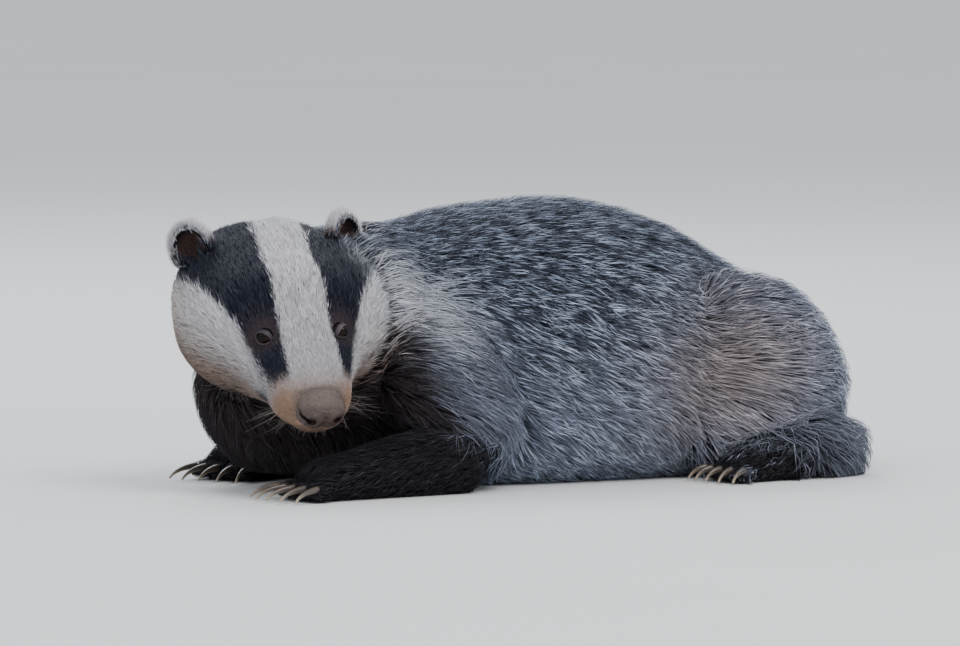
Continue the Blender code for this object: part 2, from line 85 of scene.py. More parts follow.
HEAD_AXES = head_axes()
LEFT_EYE = sum(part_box("eye_left"), Vector()) / 2
HEAD_CENTRE = LEFT_EYE - HEAD_AXES @ Vector(EYE_SEAT) * MM
WITHERS = HEAD_CENTRE + Vector((0.081, 0.0955, -0.136))


def in_head(forward, left, up):
    """A point from millimetres along the head's own axes, from the middle of the cranium."""
    return HEAD_CENTRE + HEAD_AXES @ Vector((forward, left, up)) * MM


def in_body(back, left, up):
    """A point from millimetres behind the withers, to the badger's left, and above the floor."""
    return WITHERS + BODY_AXES @ Vector((back, left, up)) * MM


def body_rings(*rows):
    """Rings from rows of back, left, up, half width, rise, drop and, under long fur, its depth."""
    return [Ring(in_body(*row[:3]), *(size * MM for size in (*row[3:], 0)[:4])) for row in rows]


def head_rings(*rows):
    """Rings from rows of forward, half width, top, middle line and bottom."""
    return [Ring(in_head(f, 0, middle), half * MM, (top - middle) * MM, (middle - bottom) * MM, 0)
            for f, half, top, middle, bottom in rows]


def as_head(points):
    """Rows of head millimetres (forward, left, up) from rows of points."""
    return (points - np.array(HEAD_CENTRE)) @ np.array(HEAD_AXES) / MM


def as_body(points):
    """Rows of body millimetres (back, left, up) from rows of points."""
    return (points - np.array(WITHERS)) @ np.array(BODY_AXES) / MM


TRUNK = body_rings(
    (-92, 4, 62, 48, 52, 44, 12),
    (-62, 4, 70, 78, 84, 68, 16),
    (-20, 2, 76, 98, 110, 82, 20),
    (30, 0, 78, 112, 119, 84, 24),
    (80, 0, 80, 119, 122, 86, 26),
    (135, 0, 80, 122, 125, 86, 28),
    (190, 0, 80, 118, 111, 86, 28),
    (232, 0, 78, 108, 88, 84, 28),
    (262, 0, 74, 92, 72, 80, 26),
    (288, 0, 68, 74, 56, 74, 24),
    (308, 0, 60, 52, 42, 62, 22),
)
NECK = body_rings(
    (-10, 0, 112, 92, 80, 96, 20),
    (-40, 8, 114, 88, 79, 92, 18),
    (-70, 22, 116, 84, 72, 84, 15),
    (-92, 36, 118, 74, 62, 76, 10),
)
THROAT = body_rings(
    (-50, 4, 84, 74, 62, 76, 8),
    (-92, 4, 74, 66, 56, 66, 8),
    (-122, 2, 66, 54, 46, 54, 8),
)
HEAD = head_rings(
    (-58, 54, 14, -16, -58),
    (-38, 67, 24, -16, -66),
    (-15, 73, 34, -16, -67),
    (8, 75.5, 40, -16, -63),
    (30, 69.5, 40, -14, -55),
    (46, 58, 34, -10, -45),
    (60, 45, 28, -6, -37),
    (75, 35, 23, -3, -31),
    (90, 29.5, 19, -2, -28),
    (100, 26.5, 17, -2, -27),
    (107, 22, 14, -3, -24),
)
NOSE = head_rings(
    (100, 13.5, 14, 3, -8),
    (107, 17, 17, 3, -10),
    (114, 17.5, 15.5, 2, -11),
    (118, 15, 12, 1, -9.5),
)
TAIL = body_rings(
    (312, -6, 62, 34, 34, 34, 14),
    (340, -22, 46, 33, 32, 34, 18),
    (352, -58, 33, 34, 31, 36, 20),
    (342, -98, 28, 32, 27, 32, 20),
    (320, -132, 23, 24, 20, 27, 18),
    (298, -152, 18, 12, 12, 20, 10),
)
FORELEG = {1: ((-8, 108), (-100, 118), (-122, 119)), -1: ((-8, -106), (-78, -74), (-98, -62))}
SIDES = {1: "left", -1: "right"}


def haunch(side):
    return body_rings(
        (190, side * 84, 62, 20, 58, 54, 20),
        (216, side * 90, 68, 34, 82, 66, 24),
        (244, side * 92, 70, 40, 82, 76, 26),
        (272, side * 86, 66, 39, 68, 74, 26),
        (297, side * 75, 58, 33, 48, 62, 24),
    )


def hind_foot(side):
    return body_rings(
        (306, side * 104, 22, 19, 20, 26),
        (274, side * 116, 18, 20, 18, 22),
        (238, side * 122, 14, 21, 15, 18),
        (214, side * 126, 11, 20, 12, 15),
    )


def upper_arm(side):
    return body_rings(
        (-30, side * 72, 110, 30, 40, 40, 10),
        (-18, side * 86, 84, 36, 44, 44, 10),
        (-6, side * 98, 52, 32, 40, 40, 8),
        (-4, side * 104, 28, 26, 26, 32, 4),
    )


def forearm(elbow, wrist, paw):
    return body_rings(
        (*elbow, 24, 26, 24, 28, 3),
        (*(Vector(elbow) * 0.5 + Vector(wrist) * 0.5), 20, 23, 20, 26),
        (*wrist, 15, 22, 15, 20),
        (*paw, 13, 24, 14, 18),
    )


# Forms

# The rounded end of a tube: its rings in degrees past the last one, and its reach against their size
CAP = (80, 62, 40, 20)
CAP_REACH = 0.55


def smooth_rings(rings, along):
    """Rings read from a Catmull-Rom curve through the given ones, with a rounded cap at each end."""
    rows = np.array([[*r.at, r.half, r.rise, r.drop, r.coat] for r in rings])
    rows = np.vstack([2 * rows[0] - rows[1], rows, 2 * rows[-1] - rows[-2]])
    out = []
    for k in range(1, len(rows) - 2):
        a, b, c, d = rows[k - 1 : k + 3]
        for t in np.arange(along) / along:
            curve = 2 * b + (c - a) * t + (2 * a - 5 * b + 4 * c - d) * t**2 + (3 * b - a - 3 * c + d) * t**3
            out.append(0.5 * curve)
    rows = np.array([*out, rows[-2]])
    ends = []
    for row, inner in ((rows[0], rows[1]), (rows[-1], rows[-2])):
        way = row[:3] - inner[:3]
        way = way / np.linalg.norm(way) * CAP_REACH * min(row[3], (row[4] + row[5]) / 2)
        ends.append([np.hstack([row[:3] + way * math.sin(a), row[3:] * math.cos(a)])
                     for a in np.radians(CAP)])
    return np.vstack([ends[0], rows, ends[1][::-1]])


def facing_out(bm):
    bmesh.ops.recalc_face_normals(bm, faces=bm.faces)
    if bm.calc_volume(signed=True) < 0:
        bmesh.ops.reverse_faces(bm, faces=bm.faces)
    return bm


def tube(rings, up=UP, square=1.0, along=6, around=48, inset=0.0, grow=0.0):
    """A ball with its circles of latitude on the rings, less a share of the coat's depth, and grown."""
    rows = smooth_rings(rings, along)
    centres = rows[:, :3]
    tangents = np.gradient(centres, axis=0)
    sides = np.cross(tangents, np.array(up))
    sides /= np.linalg.norm(sides, axis=1)[:, None]
    ups = np.cross(sides, tangents)
    ups /= np.linalg.norm(ups, axis=1)[:, None]
    half, rise = (np.maximum(rows[:, k] - inset * rows[:, 6], MM) + grow for k in (3, 4))
    drop = rows[:, 5] + grow
    bm = bmesh.new()
    bmesh.ops.create_uvsphere(bm, u_segments=around, v_segments=len(rows) + 1, radius=1)
    for v in bm.verts:
        k = round(math.acos(max(-1.0, min(1.0, v.co.z))) / math.pi * (len(rows) + 1)) - 1
        if k < 0 or k == len(rows):
            end, beside = (0, 1) if k < 0 else (-1, -2)
            out = centres[end] - centres[beside]
            v.co = Vector(centres[end] + out / np.linalg.norm(out) * grow)
            continue
        angle = math.atan2(v.co.y, v.co.x)
        c = math.copysign(abs(math.cos(angle)) ** square, math.cos(angle))
        s = math.copysign(abs(math.sin(angle)) ** square, math.sin(angle))
        reach = rise[k] if s > 0 else drop[k]
        v.co = centres[k] + sides[k] * half[k] * c + ups[k] * reach * s
    return facing_out(bm)


def ball(at, axes, radii, around=24):
    """An ellipsoid whose half axes, in millimetres, lie along the columns of axes."""
    bm = bmesh.new()
    bmesh.ops.create_uvsphere(bm, u_segments=around, v_segments=around // 2 + 2, radius=1)
    for v in bm.verts:
        v.co = at + axes @ Vector([c * r for c, r in zip(v.co, radii)]) * MM
    return facing_out(bm)


def placed(name, data):
    """A new object in the scene."""
    obj = bpy.data.objects.new(name, data)
    bpy.context.scene.collection.objects.link(obj)
    return obj


def made(name, bm):
    """A new object of the bmesh, which is freed."""
    mesh = bpy.data.meshes.new(name)
    bm.to_mesh(mesh)
    bm.free()
    return placed(name, mesh)


def joined(name, forms):
    whole = bmesh.new()
    for bm in forms:
        mesh = bpy.data.meshes.new("form")
        bm.to_mesh(mesh)
        whole.from_mesh(mesh)
        bpy.data.meshes.remove(mesh)
        bm.free()
    return made(name, whole)


def applied(obj):
    graph = bpy.context.evaluated_depsgraph_get()
    mesh = bpy.data.meshes.new_from_object(obj.evaluated_get(graph))
    obj.modifiers.clear()
    obj.data = mesh
    return obj


def remeshed(obj, voxel, rounds):
    """One closed surface over all the object's forms, smoothed a few rounds."""
    remesh = obj.modifiers.new("remesh", "REMESH")
    remesh.mode = "VOXEL"
    remesh.voxel_size = voxel * MM
    obj.modifiers.new("smooth", "SMOOTH").iterations = rounds
    return applied(obj)


def dressed(obj, material):
    obj.data.materials.clear()
    obj.data.materials.append(material)
    obj.data.shade_smooth()
    return obj


def moved(obj, points):
    """Move the object's vertices to the points."""
    obj.data.vertices.foreach_set("co", points.ravel())
    obj.data.update()


def read(items, field, kind=float):
    """A field of a mesh's items, as rows of three."""
    rows = np.empty(len(items) * 3, kind)
    items.foreach_get(field, rows)
    return rows.reshape(-1, 3)


def combined(obj, pieces, operation):
    """The object after one Boolean with closed pieces, which are then removed."""
    for piece in pieces:
        cut = obj.modifiers.new("combine", "BOOLEAN")
        cut.operation = operation
        cut.solver = "MANIFOLD"
        cut.object = piece
        applied(obj)
        bpy.data.objects.remove(piece)
    return obj


def mirrored(point, side):
    return Vector((point[0], side * point[1], point[2]))


def step(x, low, high):
    """0 below low, 1 above high, and a soft step between, also where high is below low."""
    t = np.clip((x - low) / (high - low), 0.0, 1.0)
    return t * t * (3 - 2 * t)


def unit(rows):
    return rows / np.maximum(np.linalg.norm(rows, axis=-1, keepdims=True), 1e-12)


# Finishes

class Value:
    """A socket of a finish, for shader sums written as Python expressions."""

    def __init__(self, finish, socket):
        self.finish = finish
        self.socket = socket

    def sum_with(self, operation, first, second):
        return self.finish.node("ShaderNodeMath", {"operation": operation}, {0: first, 1: second})

    def __add__(self, other):
        return self.sum_with("ADD", self, other)

    def __sub__(self, other):
        return self.sum_with("SUBTRACT", self, other)

    def __rsub__(self, other):
        return self.sum_with("SUBTRACT", other, self)

    def __mul__(self, other):
        return self.sum_with("MULTIPLY", self, other)


class Finish:
    """A material with one principled shader. Its node method makes every other node."""

    def __init__(self, name, constants):
        self.material = bpy.data.materials.new(name)
        self.material.use_nodes = True
        self.tree = self.material.node_tree
        self.shader = self.tree.nodes["Principled BSDF"]
        for socket, value in constants.items():
            self.shader.inputs[socket].default_value = value

    def node(self, kind, settings=None, inputs=None, out=0):
        """A node with its settings made first, then the values or links of its sockets."""
        node = self.tree.nodes.new(kind)
        for key, value in (settings or {}).items():
            if key == "stops":
                self.set_stops(node.color_ramp, value)
            else:
                setattr(node, key, value)
        for key, value in (inputs or {}).items():
            if isinstance(value, Value):
                self.tree.links.new(value.socket, node.inputs[key])
            else:
                node.inputs[key].default_value = value
        return Value(self, node.outputs[out])

    def set_stops(self, ramp, stops):
        while len(ramp.elements) < len(stops):
            ramp.elements.new(0.5)
        for element, (place, level) in zip(ramp.elements, stops):
            element.position = place
            element.color = (level, level, level, 1)

    def mix(self, factor, first, second, blend="MIX"):
        """Two colours, each a value or (r, g, b), mixed by a factor."""
        first, second = (v if isinstance(v, Value) else (*v, 1) for v in (first, second))
        settings = {"data_type": "RGBA", "blend_type": blend}
        return self.node("ShaderNodeMix", settings, {0: factor, 6: first, 7: second}, 2)

    def place(self):
        return self.node("ShaderNodeTexCoord", out="Object")

    def stretched(self, scale):
        return self.node("ShaderNodeMapping", {}, {"Vector": self.place(), "Scale": scale})

    def noise(self, scale, detail=4.0, rough=0.55, place=None):
        inputs = {"Vector": place or self.place(), "Scale": scale, "Detail": detail, "Roughness": rough}
        return self.node("ShaderNodeTexNoise", {}, inputs)

    def cells(self, scale):
        return self.node("ShaderNodeTexVoronoi", {}, {"Vector": self.place(), "Scale": scale})

    def attribute(self, name, out="Color"):
        return self.node("ShaderNodeAttribute", {"attribute_name": name}, out=out)

    def ramp(self, value, stops):
        return self.node("ShaderNodeValToRGB", {"stops": stops}, {"Fac": value})

    def feed(self, socket, value):
        self.tree.links.new(value.socket, self.shader.inputs[socket])

    def bump(self, height, strength, depth):
        inputs = {"Height": height, "Strength": strength, "Distance": depth * MM}
        self.feed("Normal", self.node("ShaderNodeBump", {}, inputs))


HAIR_BAND = (0.010, 0.012, 0.024)


def coat_finish(name, roughness, root, banded):
    """Fur in each tuft's own colour, with painted shade that darkens it towards the root; guard hair has a
    dark band below a pale tip.
    """
    sheen = {"Specular IOR Level": 0.22, "Sheen Weight": 0.03, "Sheen Roughness": 0.4}
    fur = Finish(name, {"Roughness": roughness, **sheen})
    colour = fur.attribute("tone")
    strand = fur.node("ShaderNodeSeparateXYZ", {}, {0: fur.attribute("strand", "Vector")})
    along, chance, grizzle = (Value(fur, strand.socket.node.outputs[k]) for k in range(3))
    if banded:
        place = along + (chance - 0.5) * 0.40
        band = fur.ramp(place, [(0.26, 0), (0.38, 1), (0.70, 1), (0.84, 0)])
        colour = fur.mix(band * grizzle, colour, HAIR_BAND)
    # Painted shade: each strand is darker towards its root, down to the level given by root
    shade = fur.ramp(along, [(0.0, root), (0.5, 0.92), (1.0, 1.0)])
    fur.feed("Base Color", fur.mix(1.0, colour, shade, "MULTIPLY"))
    return fur.material


def skin_finish():
    """The under-fur: the coat's markings, darker with painted shade under the coat, and streaked."""
    skin = Finish("under_fur", {"Roughness": 0.85, "Specular IOR Level": 0.15})
    streaks = skin.noise(900.0, 3.0, 0.6)
    tone = skin.mix(1.0, skin.attribute("tone"), skin.ramp(streaks, [(0.3, 0.62), (0.7, 0.95)]), "MULTIPLY")
    skin.feed("Base Color", tone)
    skin.bump(streaks, 0.5, 0.6)
    return skin.material


def nose_finish():
    """Bare pebbled skin in grey-tan blotches, some glossier than others; the pad's tone darkens it low down
    and adds painted shade in and round the nostrils.
    """
    pad = Finish("nose_leather", {"Specular IOR Level": 0.5})
    pebbles = pad.cells(620.0)
    blotch = pad.noise(160.0, 4.0)
    tone = pad.mix(pad.ramp(blotch, [(0.35, 0), (0.65, 1)]), (0.115, 0.080, 0.064), (0.185, 0.135, 0.108))
    tone = pad.mix(pad.ramp(pebbles, [(0.15, 0.0), (0.75, 0.55)]), tone, (0.07, 0.05, 0.045))
    tone = pad.mix(1.0, tone, pad.attribute("tone"), "MULTIPLY")
    pad.feed("Base Color", tone)
    pad.feed("Roughness", pad.ramp(blotch, [(0.3, 0.36), (0.7, 0.58)]))
    pad.bump(1 - pebbles, 0.8, 0.7)
    return pad.material


def eye_finish():
    """Dark brown iris, black pupil and a wet front."""
    wet = {"Roughness": 0.05, "Coat Weight": 0.06, "Coat Roughness": 0.02, "Specular IOR Level": 0.12}
    eye = Finish("eye_gloss", wet)
    fleck = eye.noise(700.0, 3.0)
    iris = eye.mix(fleck, (0.004, 0.002, 0.0015), (0.014, 0.006, 0.004))
    gaze = eye.attribute("gaze", "Fac")
    tone = eye.mix(eye.ramp(gaze, [(0.30, 0), (0.38, 1)]), (0.001, 0.001, 0.001), iris)
    tone = eye.mix(eye.ramp(gaze, [(0.66, 0), (0.78, 1)]), tone, (0.006, 0.004, 0.004))
    eye.feed("Base Color", tone)
    return eye.material


def lid_finish():
    """Bare wrinkled lid skin, pinkish grey at the edge."""
    lid = Finish("lid_skin", {"Specular IOR Level": 0.45})
    folds = lid.noise(900.0, 4.0)
    tone = lid.mix(1.0, lid.attribute("tone"), lid.ramp(folds, [(0.3, 0.7), (0.7, 1.0)]), "MULTIPLY")
    lid.feed("Base Color", tone)
    lid.feed("Roughness", lid.ramp(folds, [(0.3, 0.38), (0.7, 0.6)]))
    lid.bump(folds, 0.4, 0.35)
    return lid.material


def claw_finish():
    """Horn, darker at the root, with fine lines along it."""
    horn = Finish("claw_horn", {"Specular IOR Level": 0.5, "Coat Weight": 0.25, "Coat Roughness": 0.2})
    lines = horn.noise(1400.0, 2.0, 0.5, horn.stretched((0.3, 0.3, 1.0)))
    tone = horn.mix(horn.attribute("gaze", "Fac"), (0.085, 0.065, 0.05), (0.42, 0.34, 0.25))
    tone = horn.mix(horn.ramp(lines, [(0.4, 0.0), (0.7, 0.5)]), tone, (0.06, 0.045, 0.035))
    horn.feed("Base Color", tone)
    horn.feed("Roughness", horn.ramp(lines, [(0.3, 0.28), (0.7, 0.45)]))
    horn.bump(lines, 0.25, 0.2)
    return horn.material


def floor_finish():
    paper = Finish("studio_paper", {"Roughness": 0.9, "Specular IOR Level": 0.1})
    paper.feed("Base Color", paper.mix(paper.noise(3.0), (0.80, 0.80, 0.79), (0.84, 0.84, 0.83)))
    return paper.material


# Markings and lie of the coat

WHITE = (0.80, 0.775, 0.80)
# Cream of the cheeks, made darker than its own colour by painted shade
CHEEK_CREAM_AND_SHADE = (0.43, 0.36, 0.315)
BAND_BLACK = (0.009, 0.012, 0.028)
TAN = np.array((0.36, 0.21, 0.125))
PAD_BROWN = (0.20, 0.150, 0.125)
DARK_BROWN = (0.030, 0.018, 0.014)
CHEEK_BROWN = (0.20, 0.125, 0.085)
EYE_GREY = (0.062, 0.043, 0.049)
THROAT_BLACK = (0.024, 0.016, 0.019)
NECK_WHITE = (0.60, 0.61, 0.66)
GUARD_PALE = (0.50, 0.58, 0.76)
SHOULDER_GREY = (0.17, 0.17, 0.215)
HAUNCH_BROWN = (0.44, 0.34, 0.30)
LEG_BLACK = (0.017, 0.015, 0.021)
TAIL_PALE = (0.56, 0.53, 0.50)
EAR_BLACK = (0.016, 0.015, 0.022)
CUP_SKIN = (0.12, 0.070, 0.062)
CUP_BROWN = (0.150, 0.090, 0.080)
WHISKER_PALE = np.array((0.62, 0.56, 0.50))

# The black band's outer edge and the white stripe's middle and half width, each against millimetres forward
BAND_EDGE = ((-70, -26, 4, 20, 30, 42, 53, 65, 84, 95), (66, 65, 60, 55, 48, 42, 38, 34, 29, 26))
STRIPE_MIDDLE = ((-60, -41, -21, -2, 30, 90), (11, 7.5, 4.5, 0.5, 1, 2))
STRIPE_HALF = ((-60, 0, 30, 90), (19, 17.5, 18, 19.5))


def over(colour, mask, paint):
    """The colours with a paint laid over them by a mask."""
    return colour + (np.asarray(paint) - colour) * mask[:, None]


# The head's half width and its reach above and below a middle line, against millimetres forward
HEAD_ALONG = (-70, -58, -38, -15, 8, 30, 46, 60, 75, 90, 107, 125)
HEAD_LINES = (
    (46, 54, 67, 73, 75.5, 69.5, 58, 45, 35, 30, 24, 20),
    (10, 14, 24, 34, 40, 40, 34, 28, 23, 20, 18, 18),
    (-16, -16, -16, -16, -16, -14, -10, -6, -3, -2, -3, -3),
    (-54, -58, -66, -67, -63, -55, -45, -37, -31, -28, -26, -22),
)


def head_share(h):
    """1 on the head, 0 on the neck and body, from head millimetres."""
    f, l, u = h.T
    half, top, middle, bottom = (np.interp(f, HEAD_ALONG, row) for row in HEAD_LINES)
    reach = np.hypot(l / half, (u - middle) / np.where(u > middle, top - middle, middle - bottom))
    return step(reach, 1.16, 1.02) * step(f, -78, -60)


def in_ear(h, side):
    """Millimetres along the ear's own axes, from head millimetres."""
    axes = np.array(HEAD_AXES.transposed() @ ear_axes(side))
    return (h - np.array(mirrored(EAR_SEAT, side))) @ axes


def ear_reach(at):
    """How far out across an ear: 0 in its middle and 1 on its edge."""
    return np.hypot(at[:, 1] / EAR_SIZE[1], at[:, 2] / EAR_SIZE[2])


def ear_share(h):
    """1 on the ears, from head millimetres."""
    share = np.zeros(len(h))
    for side in (1, -1):
        at = in_ear(h, side) - (0, 0, 3)
        share = np.maximum(share, (((at / (15, 20, 20)) ** 2).sum(axis=1) < 1) & (at[:, 2] > -12))
    return share


def cup_share(h):
    """1 in the cups of the ears, from head millimetres."""
    share = np.zeros(len(h))
    for side in (1, -1):
        at = in_ear(h, side)
        inside = (at[:, 0] > -5) & (ear_reach(at) < 0.69) & (at[:, 2] > -12)
        share = np.maximum(share, inside & (h[:, 1] * side > 20))
    return share


def head_markings(h):
    """Colours of the head: white with two black bands, tan round the mouth and dark under the jaw."""
    f, l, u = h.T
    side = np.abs(l)
    colour = np.tile(WHITE, (len(h), 1))
    cheek = step(side, 30, 62) * step(u, 20, -22)
    # The cheeks' cream, partly their own colour and partly painted shade
    colour = over(colour, cheek * 0.9, CHEEK_CREAM_AND_SHADE)
    colour = colour * (1 - 0.16 * step(f, 10, 75))[:, None]
    off_stripe = np.abs(l - np.interp(f, *STRIPE_MIDDLE)) - np.interp(f, *STRIPE_HALF)
    outer = np.interp(f, *BAND_EDGE)
    band = step(off_stripe, -1.2, 1.2) * step(side, outer + 1.5, outer - 1.5) * step(u, -24, -16)
    band *= step(f, 94, 84)
    colour = over(colour, band, BAND_BLACK)
    near_eye = step(eye_distance(h), 19, 10) * step(off_stripe, -1, 3)
    colour = over(colour, near_eye * 0.75, EYE_GREY)
    muzzle = step(f, 80, 99) * step(u, 24, 4)
    muzzle = np.maximum(muzzle, step(f, 97, 106) * 0.75)
    colour = over(colour, muzzle * 0.9, TAN)
    beside_pad = step(f, 96, 103) * step(side, 22, 15) * step(u, -6, 2)
    colour = over(colour, beside_pad * 0.8, PAD_BROWN)
    chin = step(f, 66, 84) * step(u, -12, -22)
    colour = over(colour, chin * 0.8, TAN * 0.8)
    low = np.interp(f, (-60, 0, 33, 49, 59, 75, 90), (-42, -37, -32, -27, -27, -28, -40))
    ahead = step(f, 84, 68)
    colour = over(colour, step(u, low + 32, low + 6) * ahead * 0.88, CHEEK_BROWN)
    return over(colour, step(u, low + 3, low - 7) * ahead, DARK_BROWN)


# How far back the dark throat and chest reach, against height
THROAT_BACK = ((35, 50, 67, 80, 95, 117), (2, -12, -28, -35, -40, -46))


def oval(b, back, up, reach_back, reach_up):
    """A soft oval on the flanks, from body millimetres."""
    return np.exp(-(((b[:, 0] - back) / reach_back) ** 2 + ((b[:, 2] - up) / reach_up) ** 2))


def body_markings(p, b):
    """Colours of the coat behind the head, and how strongly each guard hair is banded."""
    back, left, up = b.T
    side = np.abs(left)
    colour = np.tile(GUARD_PALE, (len(p), 1))
    grizzle = np.full(len(p), 0.95)
    brown = oval(b, 190, 85, 75, 55) * step(side, 40, 90)
    colour = over(colour, brown * 0.85, HAUNCH_BROWN)
    grizzle -= 0.35 * brown
    pale = oval(b, 275, 130, 40, 32)
    grizzle -= 0.35 * pale
    shoulder = oval(b, -10, 80, 45, 45) * step(side, 50, 85)
    colour = over(colour, shoulder * 0.75, SHOULDER_GREY)
    grizzle -= 0.25 * shoulder
    colour = colour * (1.12 - 0.30 * step(up, 110, 185))[:, None]
    grizzle -= 0.22 * step(up, 120, 50)
    shirt = np.interp(back, (-60, -43, -32, -10, 5), (172, 165, 155, 146, 138))
    white = step(back, 18, -24) * step(up, shirt + 8, shirt - 8) * step(up, 84, 122)
    colour = over(colour, white * 0.9, NECK_WHITE)
    grizzle *= 1 - 0.85 * white
    edge = np.interp(up, *THROAT_BACK)
    dark = step(back, edge + 14, edge - 12) * step(up, 124, 112)
    dark = np.maximum(dark, step(back, 30, 0) * step(up, 58, 34) * step(side, 60, 80))
    dark = np.maximum(dark, 0.68 * step(back, 205, 262) * step(up, 80, 30) * step(side, 40, 80))
    dark = np.maximum(dark, step(up, 12, 4))
    colour = over(colour, dark, THROAT_BLACK)
    grizzle *= 1 - dark
    tail = tail_share(p)
    colour = over(colour, tail, TAIL_PALE)
    grizzle *= 1 - 0.75 * tail
    return colour, grizzle


def tail_share(p):
    """1 on the tail behind its root."""
    middle = np.array([ring.at for ring in TAIL[1:]])
    near = np.sqrt(((p[:, None, :] - middle[None]) ** 2).sum(axis=2)).min(axis=1) / MM
    return step(near, 50, 40) * step(as_body(p)[:, 0], 285, 305)


def leg_share(p):
    """1 on the forelegs and the paws, where the fur is short."""
    b = as_body(p)
    share = np.zeros(len(p))
    for side in (1, -1):
        elbow, _, paw = (np.array(q) for q in FORELEG[side])
        run = paw - elbow
        place = np.clip((b[:, :2] - elbow) @ run / (run @ run), 0, 1.4)
        off = np.linalg.norm(b[:, :2] - elbow - place[:, None] * run, axis=1)
        share = np.maximum(share, step(off, 38, 30) * step(b[:, 2], 58, 42))
        off = np.abs((b[:, :2] - (226, side * 122)) / (44, 30)).max(axis=1)
        share = np.maximum(share, step(off, 1.2, 0.8) * step(b[:, 2], 34, 22))
    return share


def coat_colours(p):
    """Colour and banding of the coat at any points of the skin."""
    h, b = as_head(p), as_body(p)
    body, grizzle = body_markings(p, b)
    on_head = head_share(h)
    colour = over(body, on_head, head_markings(h))
    grizzle = grizzle * (1 - on_head)
    legs = leg_share(p)
    colour = over(colour, legs, LEG_BLACK)
    grizzle *= 1 - legs
    ears = ear_share(h)
    colour = over(colour, ears, ear_colours(h))
    return colour, grizzle * (1 - ears)


def ear_colours(h):
    """Dark ears with a brown cup and a white rim."""
    colour = np.tile(EAR_BLACK, (len(h), 1))
    for side in (1, -1):
        at = in_ear(h, side)
        here = (np.abs(at[:, 1]) < 26) & (h[:, 1] * side > 20)
        colour = over(colour, here * step(at[:, 0], 4, 0) * step(at[:, 2], -12, 4), CUP_SKIN)
        rim = step(ear_reach(at), 0.74, 0.84) * step(at[:, 2], -3, 5)
        colour = over(colour, here * rim, WHITE)
    return colour


def coat_lie(p, normals):
    """The way that the coat lies, along the skin."""
    h, b = as_head(p), as_body(p)
    back, left, up = b.T
    fall = 0.08 + 0.42 * np.minimum(1.0, np.abs(left) / 120) + 0.35 * step(up, 75, 30)
    fall -= 0.45 * step(back, 150, 200) * step(up, 60, 90)
    way = -np.array(FORWARD) - np.array(UP) * fall[:, None]
    near = step(left, 10, 60) * step(up, 40, 70)
    chest = over(np.tile(-FORWARD * 0.25 - UP, (len(p), 1)), near, UP * 0.2 - FORWARD)
    way = over(way, step(back, -30, -70) * step(up, 130, 100), chest)
    way = over(way, step(back, 262, 310), -FORWARD * 0.6 - UP)
    legs = leg_share(p)
    for side in (1, -1):
        elbow, _, paw = (np.array(in_body(*q, 0)) for q in FORELEG[side])
        own = legs * (np.sign(left) == side)
        way = over(way, own * (back < 40), unit(paw - elbow) - np.array(UP) * 0.25)
        way = over(way, own * (back > 150), FORWARD * 0.9 - UP * 0.35)
    middle = np.array([ring.at for ring in TAIL])
    nearest = np.minimum(((p[:, None, :] - middle[None]) ** 2).sum(axis=2).argmin(axis=1), len(TAIL) - 2)
    way = over(way, tail_share(p), unit(middle[nearest + 1] - middle[nearest]))
    way = over(way, head_share(h), head_lie(h))
    for side in (1, -1):
        way = over(way, ear_share(h) * (h[:, 1] * side > 0), ear_axes(side).col[2])
    way = unit(way)
    return unit(way - normals * (way * normals).sum(axis=1)[:, None])


def head_lie(h):
    """Back from the nose, over the crown, and out and down over the cheeks."""
    _, l, u = h.T
    cheek = step(np.abs(l), 25, 60) * step(u, 15, -20)
    out = np.clip(l / 60, -1, 1) * (0.12 + 0.7 * cheek)
    return np.stack([0.4 * cheek - 1, out, 0.05 - 0.5 * cheek], axis=1) @ np.array(HEAD_AXES).T


# The head's own forms

def eye_axes(side):
    """Columns are the gaze, the line from the lids' inner to their outer corner, and the way across them."""
    gaze = (HEAD_AXES @ mirrored(EYE_GAZE, side)).normalized()
    fissure = HEAD_AXES @ Vector((-0.62, side * 0.75, -0.05))
    fissure = (fissure - gaze * fissure.dot(gaze)).normalized()
    return Matrix((gaze, fissure, gaze.cross(fissure))).transposed()


def ear_axes(side):
    """Columns are the way the cup opens, its width and its tip."""
    opens = (HEAD_AXES @ mirrored((0.52, 0.52, 0.58), side)).normalized()
    tip = HEAD_AXES @ mirrored((-0.55, 0.42, 0.62), side)
    tip = (tip - opens * tip.dot(opens)).normalized()
    return Matrix((opens, tip.cross(opens), tip)).transposed()


# Swells and hollows of the face: (forward, side, up), reach and height, in millimetres
FACE_FORM = [
    ((53, 30, 20), 11.0, -2.4),
    ((44, 27, 30), 12.0, 1.5),
    ((60, 36, 6), 14.0, -1.2),
    ((93, 21, -11), 11.0, 2.0),
    ((72, 0, 25), 22.0, -1.0),
    ((99, 12, 14), 8.0, -0.8),
    ((-6, 74, -6), 36.0, -2.5),
    ((101, 0, -26), 9.0, 1.5),
    ((112, 0, -10), 3.0, -1.6),
]
HEAD_COAT = 2.2


def mouth_course(steps=14):
    """Points along the mouth from one corner to the other, in head millimetres."""
    course = [Vector(p) for p in MOUTH]
    course = [mirrored(p, -1) for p in reversed(course[1:])] + course
    points = []
    for a, b in zip(course, course[1:]):
        points += [a.lerp(b, k / steps) for k in range(steps)]
    return np.array([*points, course[-1]])


